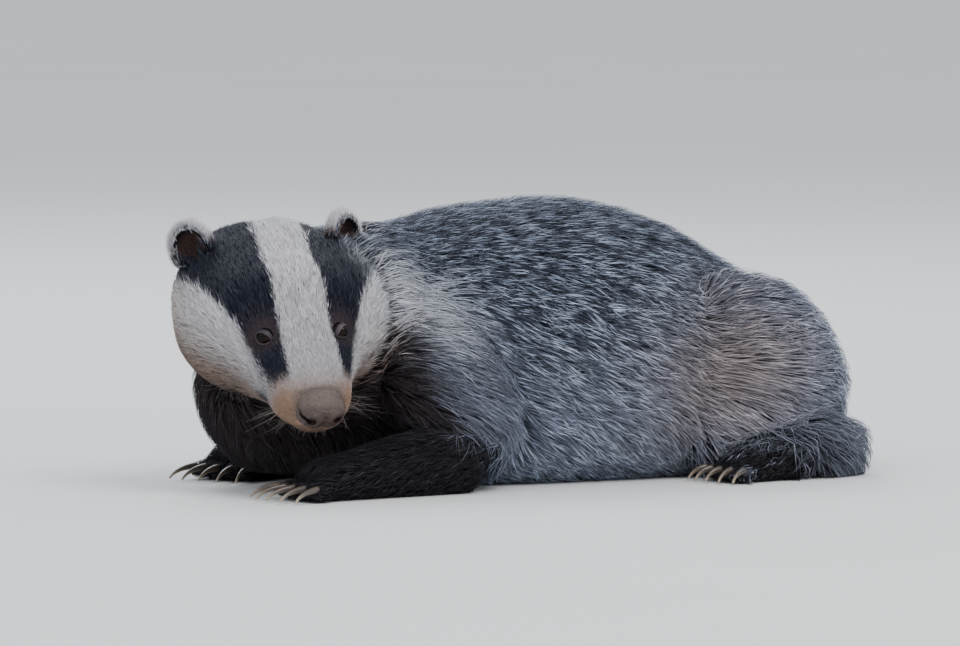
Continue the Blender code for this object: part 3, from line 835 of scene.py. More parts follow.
def shaped_face(head):
    """Push the skin of the face out and in, and fold it in along the mouth."""
    points, normals = read(head.data.vertices, "co"), read(head.data.vertices, "normal")
    h = as_head(points)
    push = np.zeros(len(h))
    for place, reach, height in FACE_FORM:
        for side in {1, -1} if place[1] else {1}:
            off = np.linalg.norm(h - np.array(mirrored(place, side)), axis=1)
            push += height * np.exp(-((off / reach) ** 2))
    mouth = mouth_course()
    near = np.full(len(h), 99.0)
    close = np.where((h[:, 0] > 40) & (h[:, 2] < 0))[0]
    near[close] = np.linalg.norm(h[close][:, None] - mouth[None], axis=2).min(axis=1)
    push -= 2.6 * np.exp(-((near / 1.9) ** 2))
    push += 0.9 * np.exp(-(((near - 4.5) / 2.2) ** 2))
    moved(head, points + normals * (push * MM)[:, None])


def ear(side):
    """A low round cup with a thick rim."""
    axes = ear_axes(side)
    seat = in_head(*mirrored(EAR_SEAT, side))
    cup = made("ear", ball(seat, axes, EAR_SIZE, 32))
    hollow = made("hollow", ball(seat + axes @ Vector((8.5, 0, -1)) * MM, axes, (12, 12, 14), 32))
    combined(cup, [hollow], "DIFFERENCE")
    bm = bmesh.new()
    bm.from_mesh(cup.data)
    bpy.data.objects.remove(cup)
    return bm


Paw = namedtuple("Paw", "front spread toe claw")
TOES = 5
FORE_PAW = Paw(16, 9.0, (11.0, 6.0, 7.0), 24.0)
HIND_PAW = Paw(14, 8.4, (10.0, 5.6, 6.4), 14.0)


def paws():
    """Each paw's point on the floor, heading and sizes."""
    for side in (1, -1):
        elbow, _, paw = (in_body(*p, 0) for p in FORELEG[side])
        yield paw, (paw - elbow).normalized(), FORE_PAW
        toes = in_body(214, side * 126, 0)
        yield toes, (toes - in_body(274, side * 116, 0)).normalized(), HIND_PAW


def toe_roots(at, heading, paw):
    """The root and way of each toe, fanned over the front of a paw."""
    across = UP.cross(heading)
    for k in range(TOES):
        turn = (k - (TOES - 1) / 2) / ((TOES - 1) / 2)
        way = (heading + across * 0.30 * turn).normalized()
        yield at + way * (paw.front - 3.5 * turn**2) * MM + across * turn * paw.spread * 2 * MM, way


# How deep the skin lies: as a share of long fur, and in millimetres on the legs and toes
SKIN_INSET = 0.65
LEG_COAT, TOE_COAT = 1.5, 0.6
BODY_VOXEL, HEAD_VOXEL = 3.3, 1.3


# Where flesh is drawn smooth under the coat: back, to a side and up, and the reach each way, in millimetres
EASED = [((186, 112, 70), (34, 46, 90)), ((282, 106, 40), (40, 40, 30)), ((-4, 104, 62), (40, 30, 26))]
EASE_ROUNDS = 70


def eased(body):
    """Smooth the creases where the legs leave the trunk."""
    b = as_body(read(body.data.vertices, "co"))
    b[:, 1] = np.abs(b[:, 1])
    share = np.zeros(len(b))
    for place, reach in EASED:
        share = np.maximum(share, step(np.linalg.norm((b - place) / reach, axis=1), 1.0, 0.45))
    group = body.vertex_groups.new(name="crease")
    for k in np.nonzero(share > 0.02)[0]:
        group.add([int(k)], float(share[k]), "REPLACE")
    smooth = body.modifiers.new("ease", "SMOOTH")
    smooth.vertex_group = "crease"
    smooth.iterations = EASE_ROUNDS
    applied(body)
    body.vertex_groups.clear()


def badger_skin():
    """The body's and the head's forms, fused and joined as one surface."""
    forms = [tube(TRUNK, square=0.85, inset=SKIN_INSET)]
    forms += [tube(rings, inset=SKIN_INSET) for rings in (NECK, THROAT, TAIL)]
    for side in (1, -1):
        forms.append(tube(haunch(side), square=0.9, inset=SKIN_INSET))
        forms.append(tube(hind_foot(side), square=0.9, grow=-LEG_COAT * MM))
        forms.append(tube(upper_arm(side), FORWARD, inset=SKIN_INSET))
        forms.append(tube(forearm(*FORELEG[side]), grow=-LEG_COAT * MM))
    for at, heading, paw in paws():
        for root, way in toe_roots(at, heading, paw):
            axes = Matrix((way, UP.cross(way), UP)).transposed()
            forms.append(ball(root + UP * 7.0 * MM, axes, [r - TOE_COAT for r in paw.toe], 20))
    body = remeshed(joined("badger_skin", forms), BODY_VOXEL, 4)
    eased(body)
    skull = tube(HEAD, HEAD_AXES.col[2], 0.92, 8, 72, grow=-HEAD_COAT * MM)
    head = remeshed(joined("head", [skull, ear(1), ear(-1)]), HEAD_VOXEL, 3)
    shaped_face(head)
    combined(body, [head], "UNION")
    for v in body.data.vertices:
        v.co.z = max(v.co.z, 0.4 * MM)
    return body


class Skin:
    """The skin's triangles as arrays, to plant tufts on and to lay them along."""

    def __init__(self, obj):
        mesh = obj.data
        mesh.calc_loop_triangles()
        self.points, self.normals = read(mesh.vertices, "co"), read(mesh.vertices, "normal")
        self.faces = read(mesh.loop_triangles, "vertices", np.int64)
        self.tree = BVHTree.FromPolygons(self.points.tolist(), self.faces.tolist())

    def scattered(self, density):
        """Random points and normals, as many in each face as a density per square millimetre gives it."""
        corners = self.points[self.faces]
        middle = corners.mean(axis=1)
        cross = np.cross(corners[:, 1] - corners[:, 0], corners[:, 2] - corners[:, 0])
        weight = np.cumsum(np.linalg.norm(cross, axis=1) / 2 / MM**2 * density(middle, unit(cross)))
        count = int(weight[-1])
        drawn = np.searchsorted(weight, (np.arange(count) + CHANCE.random(count)) / count * weight[-1])
        drawn = np.minimum(drawn, len(weight) - 1)
        a, b = np.sqrt(CHANCE.random(count)), CHANCE.random(count)
        shares = np.stack([1 - a, a * (1 - b), a * b], axis=1)[:, :, None]
        normals = self.normals[self.faces[drawn]]
        return (corners[drawn] * shares).sum(axis=1), unit((normals * shares).sum(axis=1))

    def nearest(self, points):
        """The nearest points of the skin and their normals."""
        found = [self.tree.find_nearest(point)[:2] for point in points.tolist()]
        return np.array([f[0] for f in found]), np.array([f[1] for f in found])


# Tufts

Strand = namedtuple("Strand", "stations widths heights")
LONG_STRAND = Strand((0.0, 0.35, 0.70, 1.0), (0.0, 1.0, 0.66, 0.0), (0.0, 0.62, 0.95, 1.0))
SHORT_STRAND = Strand((0.0, 0.42, 1.0), (0.0, 1.0, 0.0), (0.0, 0.75, 1.0))
BRISTLE = Strand((0.0, 0.12, 0.35, 0.6, 0.82, 1.0), (0.0, 1.0, 0.85, 0.62, 0.36, 0.0), (0.0,) * 6)
CORNERS = ((-1.0, 0.0), (0.0, 0.45), (1.0, 0.0))


def spines(skin, roots, normals, lies, lengths, rises, strand):
    """The middle line of each tuft and the skin's normal along it: arrays of stations by tufts."""
    middles, ups = [roots - normals * MM], [normals]
    for share, height in zip(strand.stations[1:], strand.heights[1:]):
        at, up = skin.nearest(roots + lies * (lengths * share)[:, None])
        middles.append(at + up * (rises * height)[:, None])
        ups.append(unit(up + ups[-1]))
    return np.array(middles), np.array(ups)


def tuft_mesh(name, material, middles, ups, widths, strand, tones, strands, places):
    """One mesh of three-sided strands that taper to a point, with their colours and bake map."""
    stations, count = middles.shape[:2]
    way = unit(np.gradient(middles, axis=0))
    side = unit(np.cross(ups, way))
    verts, marks = [middles[0]], [(0.0, 0.0)]
    for k in range(1, stations - 1):
        for across, rise in CORNERS:
            width = (widths * strand.widths[k])[:, None]
            verts.append(middles[k] + side[k] * width * across + ups[k] * width * rise)
            marks.append((across, strand.stations[k]))
    points = np.stack([*verts, middles[-1]], axis=1)
    across, along = np.array([*marks, (0.0, 1.0)]).T
    per = points.shape[1]
    faces = [(1 + c, 1 + (c + 1) % 3, 0) for c in range(3)]
    for k in range(stations - 3):
        for c in range(3):
            a, b = 1 + 3 * k + c, 1 + 3 * k + (c + 1) % 3
            faces += [(b, a, a + 3), (b, a + 3, b + 3)]
    faces += [(per - 4 + (c + 1) % 3, per - 4 + c, per - 1) for c in range(3)]
    faces = np.array(faces)
    index = (faces[None] + np.arange(count)[:, None, None] * per).reshape(-1, 3)
    mesh = bpy.data.meshes.new(name)
    mesh.vertices.add(count * per)
    mesh.vertices.foreach_set("co", points.ravel())
    mesh.loops.add(len(index) * 3)
    mesh.loops.foreach_set("vertex_index", index.ravel())
    mesh.polygons.add(len(index))
    mesh.polygons.foreach_set("loop_start", np.arange(len(index)) * 3)
    mesh.update(calc_edges=True)
    colour = np.concatenate([np.repeat(tones, per, axis=0), np.ones((count * per, 1))], axis=1)
    mesh.attributes.new("tone", "FLOAT_COLOR", "POINT").data.foreach_set("color", colour.ravel())
    own = np.concatenate([np.tile(along, count)[:, None], np.repeat(strands, per, axis=0)], axis=1)
    mesh.attributes.new("strand", "FLOAT_VECTOR", "POINT").data.foreach_set("vector", own.ravel())
    patch = np.tile(np.stack([across * 0.5, along - 0.5], axis=1), (count, 1)) * PATCH
    uv = (np.repeat(places, per, axis=0) + patch)[index.ravel()]
    mesh.uv_layers.new(name="OFBake").data.foreach_set("uv", uv.ravel())
    return dressed(placed(name, mesh), material)


# A tuft's size on the bake map, the share of triangles left for its unwrap, and the most in a piece
PATCH = 0.003
UNWRAP_SHARE = 0.12
PIECE_LIMIT = 190000


class Unwrap:
    """A coarse copy of the skin laid flat, to give each root its place on the bake map."""

    def __init__(self, skin):
        flat = placed("flat", skin.data.copy())
        flat.modifiers.new("reduce", "DECIMATE").ratio = UNWRAP_SHARE
        applied(flat)
        bpy.context.view_layer.objects.active = flat
        flat.select_set(True)
        bpy.ops.object.mode_set(mode="EDIT")
        bpy.ops.mesh.select_all(action="SELECT")
        bpy.ops.uv.smart_project(angle_limit=math.radians(60), island_margin=0.004)
        bpy.ops.object.mode_set(mode="OBJECT")
        mesh = flat.data
        mesh.calc_loop_triangles()
        self.points = read(mesh.vertices, "co")
        self.faces = read(mesh.loop_triangles, "vertices", np.int64)
        loops = read(mesh.loop_triangles, "loops", np.int64)
        uv = np.empty(len(mesh.loops) * 2)
        mesh.uv_layers.active.data.foreach_get("uv", uv)
        self.uv = uv.reshape(-1, 2)[loops]
        self.tree = BVHTree.FromPolygons(self.points.tolist(), self.faces.tolist())
        bpy.data.objects.remove(flat)

    def places(self, roots):
        found = [self.tree.find_nearest(root) for root in roots.tolist()]
        index = np.array([f[2] for f in found])
        at = np.array([f[0] for f in found])
        a, b, c = self.points[self.faces[index]].transpose(1, 0, 2)
        area = np.linalg.norm(np.cross(b - a, c - a), axis=1) + 1e-15
        wb = np.linalg.norm(np.cross(at - a, c - a), axis=1) / area
        wc = np.linalg.norm(np.cross(b - a, at - a), axis=1) / area
        corner = self.uv[index]
        return (corner * np.stack([1 - wb - wc, wb, wc], axis=1)[:, :, None]).sum(axis=1)


# How far a tuft's colour strays from its root's, on the head and elsewhere, and the odd paler hairs, painted
# glints that show on dark fur
STRAY = (0.9, 5.0)
GLINT_HAIR_SHARE, GLINT_HAIR_LIFT = 0.10, 0.045
# How brightness varies from clump to clump and within one, and the ranges of length, rise and width
GLOW = (0.10, 0.12)
LENGTHS, RISES, WIDTHS = (0.72, 1.18), (0.55, 1.2), (0.6, 1.25)


def planted(name, skin, unwrap, material, density, size, strand, clump, pull, spread):
    """Tufts over the skin, in pieces under the limit. size gives length, half width and rise."""
    roots, normals = skin.scattered(density)
    order = np.argsort(as_body(roots)[:, 0])
    roots, normals = roots[order], normals[order]
    count = len(roots)
    lies = coat_lie(roots, normals)
    length, width, rise = (v * MM for v in size(roots))
    centres = CHANCE.choice(count, max(1, count // clump), replace=False)
    near = KDTree(len(centres))
    for k, place in enumerate(roots[centres].tolist()):
        near.insert(place, k)
    near.balance()
    home = np.array([near.find(place)[1] for place in roots.tolist()])
    turn = CHANCE.normal(0, spread, len(centres))[home] + CHANCE.normal(0, spread * 0.5, count)
    lies = unit(lies * np.cos(turn)[:, None] + np.cross(normals, lies) * np.sin(turn)[:, None])
    length = length * CHANCE.uniform(*LENGTHS, count)
    rise = rise * CHANCE.uniform(*RISES, count)
    middles, ups = spines(skin, roots, normals, lies, length, rise, strand)
    lead = middles[:, centres][:, home]
    gather = np.array(strand.stations)[:, None, None] ** 1.5 * pull
    middles += (lead - middles) * gather * CHANCE.uniform(0.4, 1.0, count)[None, :, None]
    middles[..., 2] = np.maximum(middles[..., 2], 0.6 * MM)
    stray = np.where(head_share(as_head(roots)) > 0.5, *STRAY)[:, None] * MM
    tones, grizzle = coat_colours(roots + CHANCE.normal(0, 1, (count, 3)) * stray)
    glow = CHANCE.normal(0, GLOW[0], len(centres))[home] + CHANCE.normal(0, GLOW[1], count)
    # Painted glints: a share of the tufts is lifted paler, which shows on dark fur
    pale = GLINT_HAIR_LIFT * (CHANCE.random(count) < GLINT_HAIR_SHARE)
    tones = np.clip(tones * (1 + glow)[:, None] + pale[:, None], 0.004, 0.95)
    chance = 0.45 * CHANCE.random(len(centres))[home] + 0.55 * CHANCE.random(count)
    strands = np.stack([chance, grizzle], axis=1)
    places = unwrap.places(roots)
    each = 6 * (len(strand.stations) - 2)
    parts = max(1, math.ceil(count * each / PIECE_LIMIT))
    pieces = []
    for k, some in enumerate(np.array_split(np.arange(count), parts)):
        wide = width[some] * CHANCE.uniform(*WIDTHS, len(some))
        pieces.append(tuft_mesh(f"{name}_{k + 1}", material, middles[:, some], ups[:, some], wide,
                                strand, tones[some], strands[some], places[some]))
    return pieces


def combed(name, material, unwrap, strand, roots, ways, lengths, widths, droop, tones):
    """Hair with a way of its own: straight out from each root, then bent by a droop."""
    along = np.array(strand.stations)[:, None, None]
    middles = roots[None] + (ways[None] * along + droop[None] * along**2) * lengths[None, :, None]
    ups = np.broadcast_to(unit(np.cross(np.cross(ways, np.array(UP) + 0.01), ways)), middles.shape)
    strands = np.stack([CHANCE.random(len(roots)), np.zeros(len(roots))], axis=1)
    return tuft_mesh(name, material, middles, ups, widths, strand, tones, strands, unwrap.places(roots))


def bare_share(p):
    """1 where no fur grows: on the eyelids and the nose pad."""
    h = as_head(p)
    pad = (h[:, 0] > 107.0) & (np.abs(h[:, 1]) < 15.5) & (h[:, 2] > -9)
    return np.maximum(eye_distance(h) < 7.7, pad)


def eye_distance(h):
    """Millimetres from the middle of the nearer eye, from head millimetres."""
    return np.minimum(*(np.linalg.norm(h - np.array(mirrored(EYE_SEAT, side)), axis=1) for side in (1, -1)))


# Hairs of an ear: how many stand on the rim and in the cup, and their lengths and half width in millimetres
RIM_HAIRS, CUP_HAIRS = 3200, 1300
RIM_LENGTH, CUP_LENGTH, EAR_HAIR_HALF = 6.8, 6.0, 0.31


def ear_fringe(side, skin, unwrap, material):
    """Pale fluff that stands out from the ear's rim, and brown hair across its cup."""
    axes = ear_axes(side)
    seat = in_head(*mirrored(EAR_SEAT, side))
    total = RIM_HAIRS + CUP_HAIRS
    rim = np.arange(total) < RIM_HAIRS
    turn = np.where(rim, CHANCE.uniform(-0.2, math.pi + 0.2, total), CHANCE.uniform(0, 2 * math.pi, total))
    reach = np.where(rim, 1.06, 0.72 * np.sqrt(CHANCE.random(total)))
    out = np.stack([0 * turn, np.cos(turn), np.sin(turn)], axis=1)
    ahead = np.where(rim, CHANCE.uniform(-5.0, 6.5, total), 2.0)[:, None] * (1, 0, 0)
    local = out * reach[:, None] * (0, 14.6, 16.6) + ahead
    roots, normals = skin.nearest(np.array(seat) + local @ np.array(axes).T * MM)
    lateral = np.sign(axes.col[1].dot(HEAD_AXES.col[1] * side))
    ways = np.where(rim[:, None], out + (0.10, 0, 0.35), (0.25, 0.45 * lateral, 0.85))
    ways = unit(unit(ways) @ np.array(axes).T + CHANCE.normal(0, 0.09, (total, 3)) + normals * 0.15)
    longest = np.where(rim, RIM_LENGTH * (0.72 + 0.28 * np.clip(np.sin(turn), 0, 1)), CUP_LENGTH)
    lengths = longest * CHANCE.uniform(0.6, 1.15, total) * MM
    pale = rim & (np.sin(turn) > CHANCE.normal(0.0, 0.12, total))
    tones = np.where(pale[:, None], WHITE, CUP_BROWN)
    tones = np.clip(tones * CHANCE.uniform(0.8, 1.15, total)[:, None], 0, 0.9)
    widths = EAR_HAIR_HALF * CHANCE.uniform(0.6, 1.2, total) * MM
    bend = np.array(HEAD_AXES.col[0]) * -0.12 + CHANCE.normal(0, 0.08, (total, 3))
    return combed("ear_fringe_" + SIDES[side], material, unwrap, SHORT_STRAND, roots - ways * MM, ways,
                  lengths, widths, bend, tones)


def off_floor(p, n):
    """0 on the faces that lie on the ground, 1 elsewhere."""
    return ~((n[:, 2] < -0.94) & (p[:, 2] < 2 * MM))


def long_density(p, n):
    """Tufts of guard hair per square millimetre: none on the head, the legs and the ears, more in front."""
    h = as_head(p)
    short = np.maximum(np.maximum(step(head_share(h), 0.35, 0.65), leg_share(p)), ear_share(h))
    front = step(as_body(p)[:, 0], 30, -40)
    return (0.235 + 0.14 * front) * off_floor(p, n) * (1 - short)


def long_size(p):
    """Length, half width and rise of the guard hair, in millimetres: shorter and finer in front."""
    b = as_body(p)
    front = step(b[:, 0], 40, -40)
    chest = step(b[:, 0], -20, -70) * step(b[:, 2], 120, 80)
    length = 40 - 12 * front - 4 * chest
    rise = 14 - 7 * front
    low = step(b[:, 2], 60, 15)
    return length - 4 * low, 0.52 - 0.16 * front, rise - 3 * low


def leg_density(p, n):
    """Tufts per square millimetre of the legs."""
    return 0.46 * off_floor(p, n) * leg_share(p) * (1 - step(head_share(as_head(p)), 0.3, 0.6))


def leg_size(p):
    """Length, half width and rise of the legs' fur: shortest on the toes."""
    b = as_body(p)
    high = step(b[:, 2], 8, 40)
    return 9 + 15 * high, 0.28 + 0.10 * high, 2.0 + 4.0 * high


def head_density(p, n):
    """Tufts per square millimetre of the head and the ears' backs and rims, denser on the face."""
    h = as_head(p)
    face = step(h[:, 0], 40, 85)
    share = np.maximum(step(head_share(h), 0.3, 0.6), ear_share(h))
    return (1.15 + 1.2 * face) * share * (1 - bare_share(p)) * (1 - cup_share(h))


def head_size(p):
    """Length, half width and rise of the head's fur: shorter near the nose and eyes, longer on the cheeks."""
    h = as_head(p)
    f, l, u = h.T
    length = np.interp(f, (-60, -20, 30, 60, 85, 100), (19, 15, 10.5, 7.5, 4.6, 2.4))
    cheek = step(np.abs(l), 30, 58) * step(u, 12, -12)
    length += 8 * cheek * step(f, 75, 40)
    length *= 0.35 + 0.65 * step(eye_distance(h), 9, 19)
    ears = ear_share(h)
    length = length * (1 - ears) + 5.5 * ears
    crown = step(f, 0, -45) * step(u, 0, 20)
    return length, 0.12 + length * 0.011, 0.4 + length * (0.2 + 0.12 * crown)


# Pieces beside the skin

def point_values(obj, name, values):
    obj.data.attributes.new(name, "FLOAT", "POINT").data.foreach_set("value", np.asarray(values, float))


def point_colours(obj, colours):
    rows = np.concatenate([colours, np.ones((len(colours), 1))], axis=1)
    obj.data.attributes.new("tone", "FLOAT_COLOR", "POINT").data.foreach_set("color", rows.ravel())


def eyeball(side, material):
    """A ball with a clear bulge in front, over the iris."""
    seat, axes = in_head(*mirrored(EYE_SEAT, side)), eye_axes(side)
    turn = Matrix((axes.col[1], axes.col[2], axes.col[0])).transposed()
    bm = ball(seat, turn, [EYE_RADIUS] * 3, 48)
    angles = []
    for v in bm.verts:
        out = (v.co - seat).normalized()
        angle = out.angle(axes.col[0])
        angles.append(angle)
        v.co += out * 0.7 * MM * max(0.0, 1 - (angle / 0.62) ** 2)
    eye = made("eye_gloss_" + SIDES[side], bm)
    point_values(eye, "gaze", angles)
    return dressed(eye, material)


# The slit between the lids: half width outward and inward, half height at the first and the second lid, and
# how far the outer and the inner corner narrow it. The first lid is the left eye's upper and the right
# eye's lower one.
SLIT_WIDE, SLIT_HIGH, SLIT_CUT = (6.0, 7.2), (4.0, 3.4), (0.40, 0.72)
LID_STEPS, LID_FLARE = 56, 1.9

# The lids' rings: how far out from the slit, how far from the ball's middle, and both lids' colours
LID_RINGS = [
    (0.92, 6.2, (0.006, 0.005, 0.005), (0.006, 0.005, 0.005)),
    (0.97, 6.8, (0.010, 0.008, 0.008), (0.012, 0.009, 0.009)),
    (1.03, 6.95, (0.010, 0.007, 0.007), (0.020, 0.014, 0.015)),
    (1.10, 7.10, (0.095, 0.068, 0.071), (0.058, 0.041, 0.045)),
    (1.28, 7.15, (0.120, 0.090, 0.095), (0.050, 0.037, 0.042)),
    # This ring lies in the crease round the lids; its near-black is painted shade
    (1.38, 6.75, (0.008, 0.007, 0.008), (0.007, 0.006, 0.007)),
    (1.52, 7.15, (0.070, 0.053, 0.058), (0.040, 0.031, 0.036)),
    (1.80, 7.15, (0.040, 0.031, 0.036), (0.026, 0.022, 0.027)),
    (2.10, 6.3, (0.010, 0.010, 0.018), (0.010, 0.010, 0.018)),
    (1.60, 5.0, (0.010, 0.010, 0.018), (0.010, 0.010, 0.018)),
]


def eyelids(side, material):
    """A closed ring of lid skin round an almond slit."""
    seat, axes = in_head(*mirrored(EYE_SEAT, side)), eye_axes(side)
    bm = bmesh.new()
    rows, colours = [], []
    for spread, radius, first, second in LID_RINGS:
        row = []
        for k in range(LID_STEPS):
            turn = 2 * math.pi * k / LID_STEPS
            c, s = math.cos(turn), math.sin(turn)
            high = SLIT_HIGH[s <= 0] * (1 - SLIT_CUT[c <= 0] * abs(c) ** 3)
            across = SLIT_WIDE[c <= 0] * c * (0.45 + 0.55 * spread)
            up = (high * (0.5 + 0.5 * spread) + LID_FLARE * (spread - 1)) * s
            reach = math.hypot(across, up) / EYE_RADIUS
            way = axes @ Vector((0, across, up)).normalized() if reach > 0 else axes.col[1]
            out = axes.col[0] * math.cos(reach) + way * math.sin(reach)
            row.append(bm.verts.new(seat + out * radius * MM))
            colours.append(np.array(first) * (0.5 + 0.5 * s) + np.array(second) * (0.5 - 0.5 * s))
        rows.append(row)
    for row, after in zip(rows, rows[1:] + rows[:1]):
        for k in range(LID_STEPS):
            n = (k + 1) % LID_STEPS
            bm.faces.new((row[k], row[n], after[n], after[k]))
    lids = made("lids_" + SIDES[side], facing_out(bm))
    point_colours(lids, np.array(colours))
    soft = lids.modifiers.new("soft", "SUBSURF")
    soft.levels = soft.render_levels = 1
    return dressed(applied(lids), material)


PAD_VOXEL = 0.5
# The two slits beside each nostril's hole: outward and up from its middle, and radii
NOSTRIL_SLITS = ((4.6, 0.6, (4.5, 4.8, 1.6)), (8.2, 3.6, (6.0, 1.1, 4.0)))


def nose_pad(material):
    """The broad pad with comma-shaped nostrils."""
    pad = made("nose", tube(NOSE, HEAD_AXES.col[2], 0.85, 6, 64))
    holes = []
    for side in (1, -1):
        at = in_head(*mirrored(NOSTRIL, side))
        outward = (HEAD_AXES @ mirrored((-0.35, 1.0, 0.25), side)).normalized()
        rise = HEAD_AXES.col[2]
        slit_axes = Matrix((HEAD_AXES.col[0], outward, rise)).transposed()
        holes.append(made("nostril", ball(at, HEAD_AXES, (6.5, 3.5, 3.2), 24)))
        for out, up, radii in NOSTRIL_SLITS:
            holes.append(made("slit", ball(at + (outward * out + rise * up) * MM, slit_axes, radii, 24)))
    remeshed(combined(pad, holes, "DIFFERENCE"), PAD_VOXEL, 4)
    points = read(pad.data.vertices, "co")
    h = as_head(points)
    f, l, u = h.T
    groove = 1.1 * np.exp(-((l / 0.9) ** 2)) * step(u, 4, -1) * step(f, 108, 113)
    dip = 1.3 * np.exp(-((l / 3.2) ** 2)) * step(u, 12, 3) * step(f, 110, 116)
    off = np.hypot(np.abs(l) - 9.5, (u - 3.5) * 1.2)
    swell = 1.3 * np.exp(-(((off - 6.0) / 2.2) ** 2)) * step(f, 110, 116) * step(u, -6, 2)
    points += np.array(HEAD_AXES.col[0])[None] * ((swell - groove - dip) * MM)[:, None]
    moved(pad, points)
    # Painted shade in and round each nostril's hole
    dark = np.zeros(len(h))
    for side in (1, -1):
        off = h - np.array(mirrored(NOSTRIL, side))
        hole = np.exp(-((off[:, 1] / 5.6) ** 2 + (off[:, 2] / 4.2) ** 4)) * step(f, 122, 118.5)
        dark = np.maximum(dark, hole)
    low = step(points[:, 2] / MM, 72, 62)
    tone = over(np.full((len(h), 3), 0.82), low * 0.85, (0.34, 0.25, 0.24))
    # The pad is darker lower down, and the painted shade is laid over the nostrils
    point_colours(pad, over(tone, dark * 0.92, (0.05, 0.04, 0.04)))
    pad.name = "nose_leather_pad"
    return dressed(pad, material)


# A claw's bend in radians, how deep it sinks, and its half width, rise and drop at the root with their loss
CLAW_BEND, CLAW_DROP = 1.25, 7.4 / 0.685
CLAW_TAPER = ((2.5, 2.0), (3.0, 2.4), (2.4, 1.9))


def claws(material):
    """All the claws: bent horns that taper to the floor."""
    forms = []
    for at, heading, paw in paws():
        for root, way in toe_roots(at, heading, paw):
            rings = []
            for t in np.arange(9) / 8:
                run = way * (paw.toe[0] - 4.5 + paw.claw * math.sin(t * CLAW_BEND))
                sink = UP * CLAW_DROP * (1 - math.cos(t * CLAW_BEND))
                sizes = (MM * (root_size - t * loss) for root_size, loss in CLAW_TAPER)
                rings.append(Ring(root + (UP * 9.5 + run - sink) * MM, *sizes, 0))
            forms.append(tube(rings, along=1, around=12))
    horn = joined("claws", forms)
    point_values(horn, "gaze", step(read(horn.data.vertices, "co")[:, 2] / MM, 9, 2))
    return dressed(horn, material)


# Beds of whiskers: middle, spread, way out, length and number on each side, in head millimetres
WHISKER_BEDS = [
    ((93, 25, -12), (5, 3, 3.5), (0.05, 1.0, -0.35), 30, 11),
    ((98, 19, -17), (4, 3, 2.5), (0.30, 0.75, -0.75), 17, 10),
    ((99, 10, -24), (6, 6, 1.5), (0.25, 0.28, -1.0), 10, 16),
]


def whiskers(skin, unwrap, material):
    """Thin tapered hairs that fan out from the lips and the chin."""
    beds = [(bed, side) for bed in WHISKER_BEDS for side in (1, -1) for _ in range(bed[-1])]
    places = np.array([mirrored(bed[0], side) for bed, side in beds])
    places += CHANCE.normal(0, 0.6, (len(beds), 3)) * np.array([bed[1] for bed, _ in beds])
    roots, _ = skin.nearest(np.array(HEAD_CENTRE) + places @ np.array(HEAD_AXES).T * MM)
    ways = np.array([mirrored(bed[2], side) for bed, side in beds])
    ways = unit(unit(ways) @ np.array(HEAD_AXES).T + CHANCE.normal(0, 0.22, (len(beds), 3)))
    lengths = np.array([bed[3] for bed, _ in beds]) * CHANCE.uniform(0.45, 1.25, len(beds)) * MM
    widths = (0.10 + 3.0 * lengths) * MM
    droop = CHANCE.normal(0, 0.13, (len(beds), 3)) - np.array(UP) * 0.16 - np.array(HEAD_AXES.col[0]) * 0.15
    tones = WHISKER_PALE * CHANCE.uniform(0.6, 1.2, len(beds))[:, None]
    return combed("whiskers", material, unwrap, BRISTLE, roots - ways * MM, ways, lengths, widths, droop,
                  tones)


def build():
    """The skin, its coat and the pieces beside it, all hung on one body, with the solids that they replace
    hidden.
    """
    skin = badger_skin()
    surface = Skin(skin)
    unwrap = Unwrap(skin)
    tones, _ = coat_colours(surface.points)
    # Painted shade under the coat: the skin is darker than the coat's markings, most on the body under the
    # long fur
    on_head = head_share(as_head(surface.points))[:, None]
    point_colours(skin, tones * (0.4 + 0.6 * on_head))
    dressed(skin, skin_finish())
    flesh = [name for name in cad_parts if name.split("_")[0] not in ("eye", "nose")]
    pieces = {skin: "grey_coat"}
    # The third number is how dark the painted shade leaves each strand at its root
    guard = coat_finish("guard_hair", 0.6, 0.35, True)
    plain = coat_finish("short_fur", 0.65, 0.8, False)
    long_coat = planted("coat", surface, unwrap, guard, long_density, long_size, LONG_STRAND, 8, 0.38, 0.17)
    legs = planted("leg_fur", surface, unwrap, plain, leg_density, leg_size, SHORT_STRAND, 7, 0.3, 0.16)
    face = planted("face_fur", surface, unwrap, plain, head_density, head_size, SHORT_STRAND, 8, 0.16, 0.13)
    pieces.update({piece: "grey_coat" for piece in long_coat})
    pieces.update({piece: "dark_coat" for piece in legs})
    pieces.update({piece: "face_coat" for piece in face})
    gloss, lid_skin = eye_finish(), lid_finish()
    for side in (1, -1):
        eye = eyeball(side, gloss)
        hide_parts("eye_" + SIDES[side])
        pieces[eye] = "eye"
        pieces[eyelids(side, lid_skin)] = "nose_skin"
        pieces[ear_fringe(side, surface, unwrap, plain)] = "face_coat"
    pad = nose_pad(nose_finish())
    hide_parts("nose")
    pieces[pad] = "nose_skin"
    pieces[claws(claw_finish())] = "claw"
    pieces[whiskers(surface, unwrap, plain)] = "face_coat"
    for piece, slot in pieces.items():
        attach(piece, "root")
    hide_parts(*flesh)


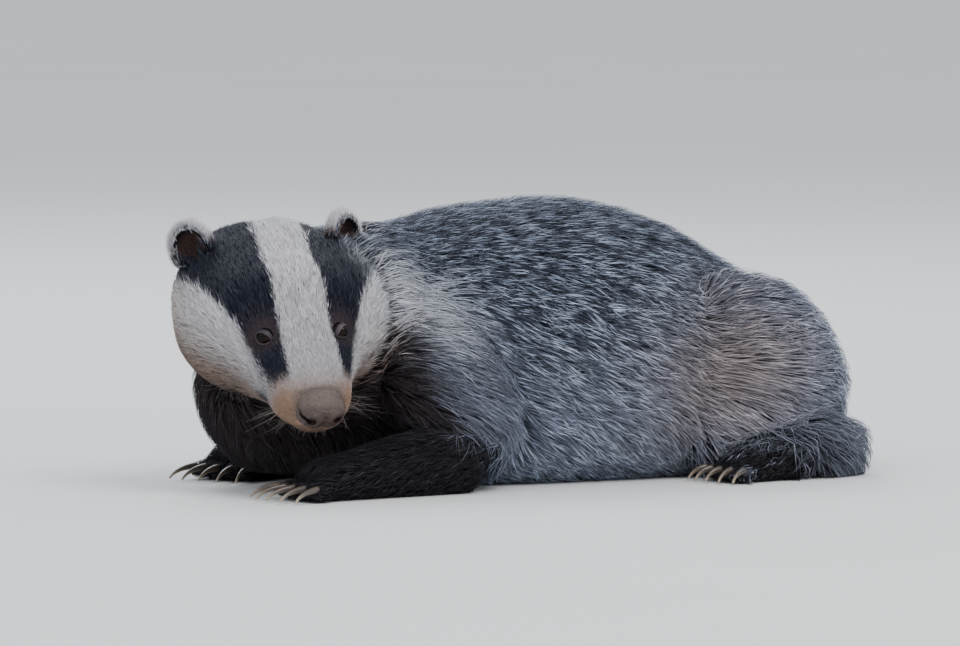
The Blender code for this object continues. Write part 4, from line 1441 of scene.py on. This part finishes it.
def studio():
    """A pale floor, soft light, and a camera where the photograph was taken from."""
    bm = bmesh.new()
    bmesh.ops.create_grid(bm, x_segments=2, y_segments=2, size=12)
    floor = made("floor", bm)
    floor.data.materials.append(floor_finish())
    world = bpy.data.worlds.new("studio")
    world.use_nodes = True
    world.node_tree.nodes["Background"].inputs["Color"].default_value = (0.86, 0.90, 0.97, 1)
    world.node_tree.nodes["Background"].inputs["Strength"].default_value = 0.95
    bpy.context.scene.world = world
    for name, place, size, power, colour in LAMPS:
        light = bpy.data.lights.new(name, "AREA")
        light.size, light.energy, light.color = size, power, colour
        lamp = placed(name, light)
        lamp.location = place
        lamp.rotation_euler = (Vector((0, 0, 0.1)) - Vector(place)).to_track_quat("-Z", "Y").to_euler()
    camera = placed("camera", bpy.data.cameras.new("camera"))
    camera.data.sensor_width = 36
    camera.data.lens = 36 * CAMERA_DISTANCE / (960 / PIXELS_PER_METRE)
    tilt = CAMERA_CLIMB
    lift = (GROUND_ROW - 646 / 2) / PIXELS_PER_METRE / math.cos(tilt)
    middle = HEAD_CENTRE + FRAME_MIDDLE + UP * lift
    camera.location = middle + CAMERA_DISTANCE * Vector((0, -math.cos(tilt), math.sin(tilt)))
    camera.rotation_euler = (middle - camera.location).to_track_quat("-Z", "Y").to_euler()
    camera.data.clip_end = 60
    bpy.context.scene.camera = camera


# Place, size, power and colour of the lamps
LAMPS = (
    ("key", (1.3, -1.7, 2.7), 1.6, 58, (1.0, 0.98, 0.95)),
    ("fill", (-1.8, -2.2, 1.3), 2.0, 12, (0.9, 0.95, 1.0)),
    ("rim", (-0.6, 2.0, 2.3), 1.6, 45, (0.93, 0.97, 1.0)),
)
# The photograph's view: scale where the animal lies, the row of the ground, the ground in the middle of the
# frame from the head's middle, distance and climb
FRAME_MIDDLE = Vector((0.141, 0.0405, -0.136))
PIXELS_PER_METRE = 1400
GROUND_ROW = 487
CAMERA_DISTANCE = 6.5
CAMERA_CLIMB = math.radians(4)

studio()
build()


def corners(box):
    return [list(box[0]), list(box[1])]
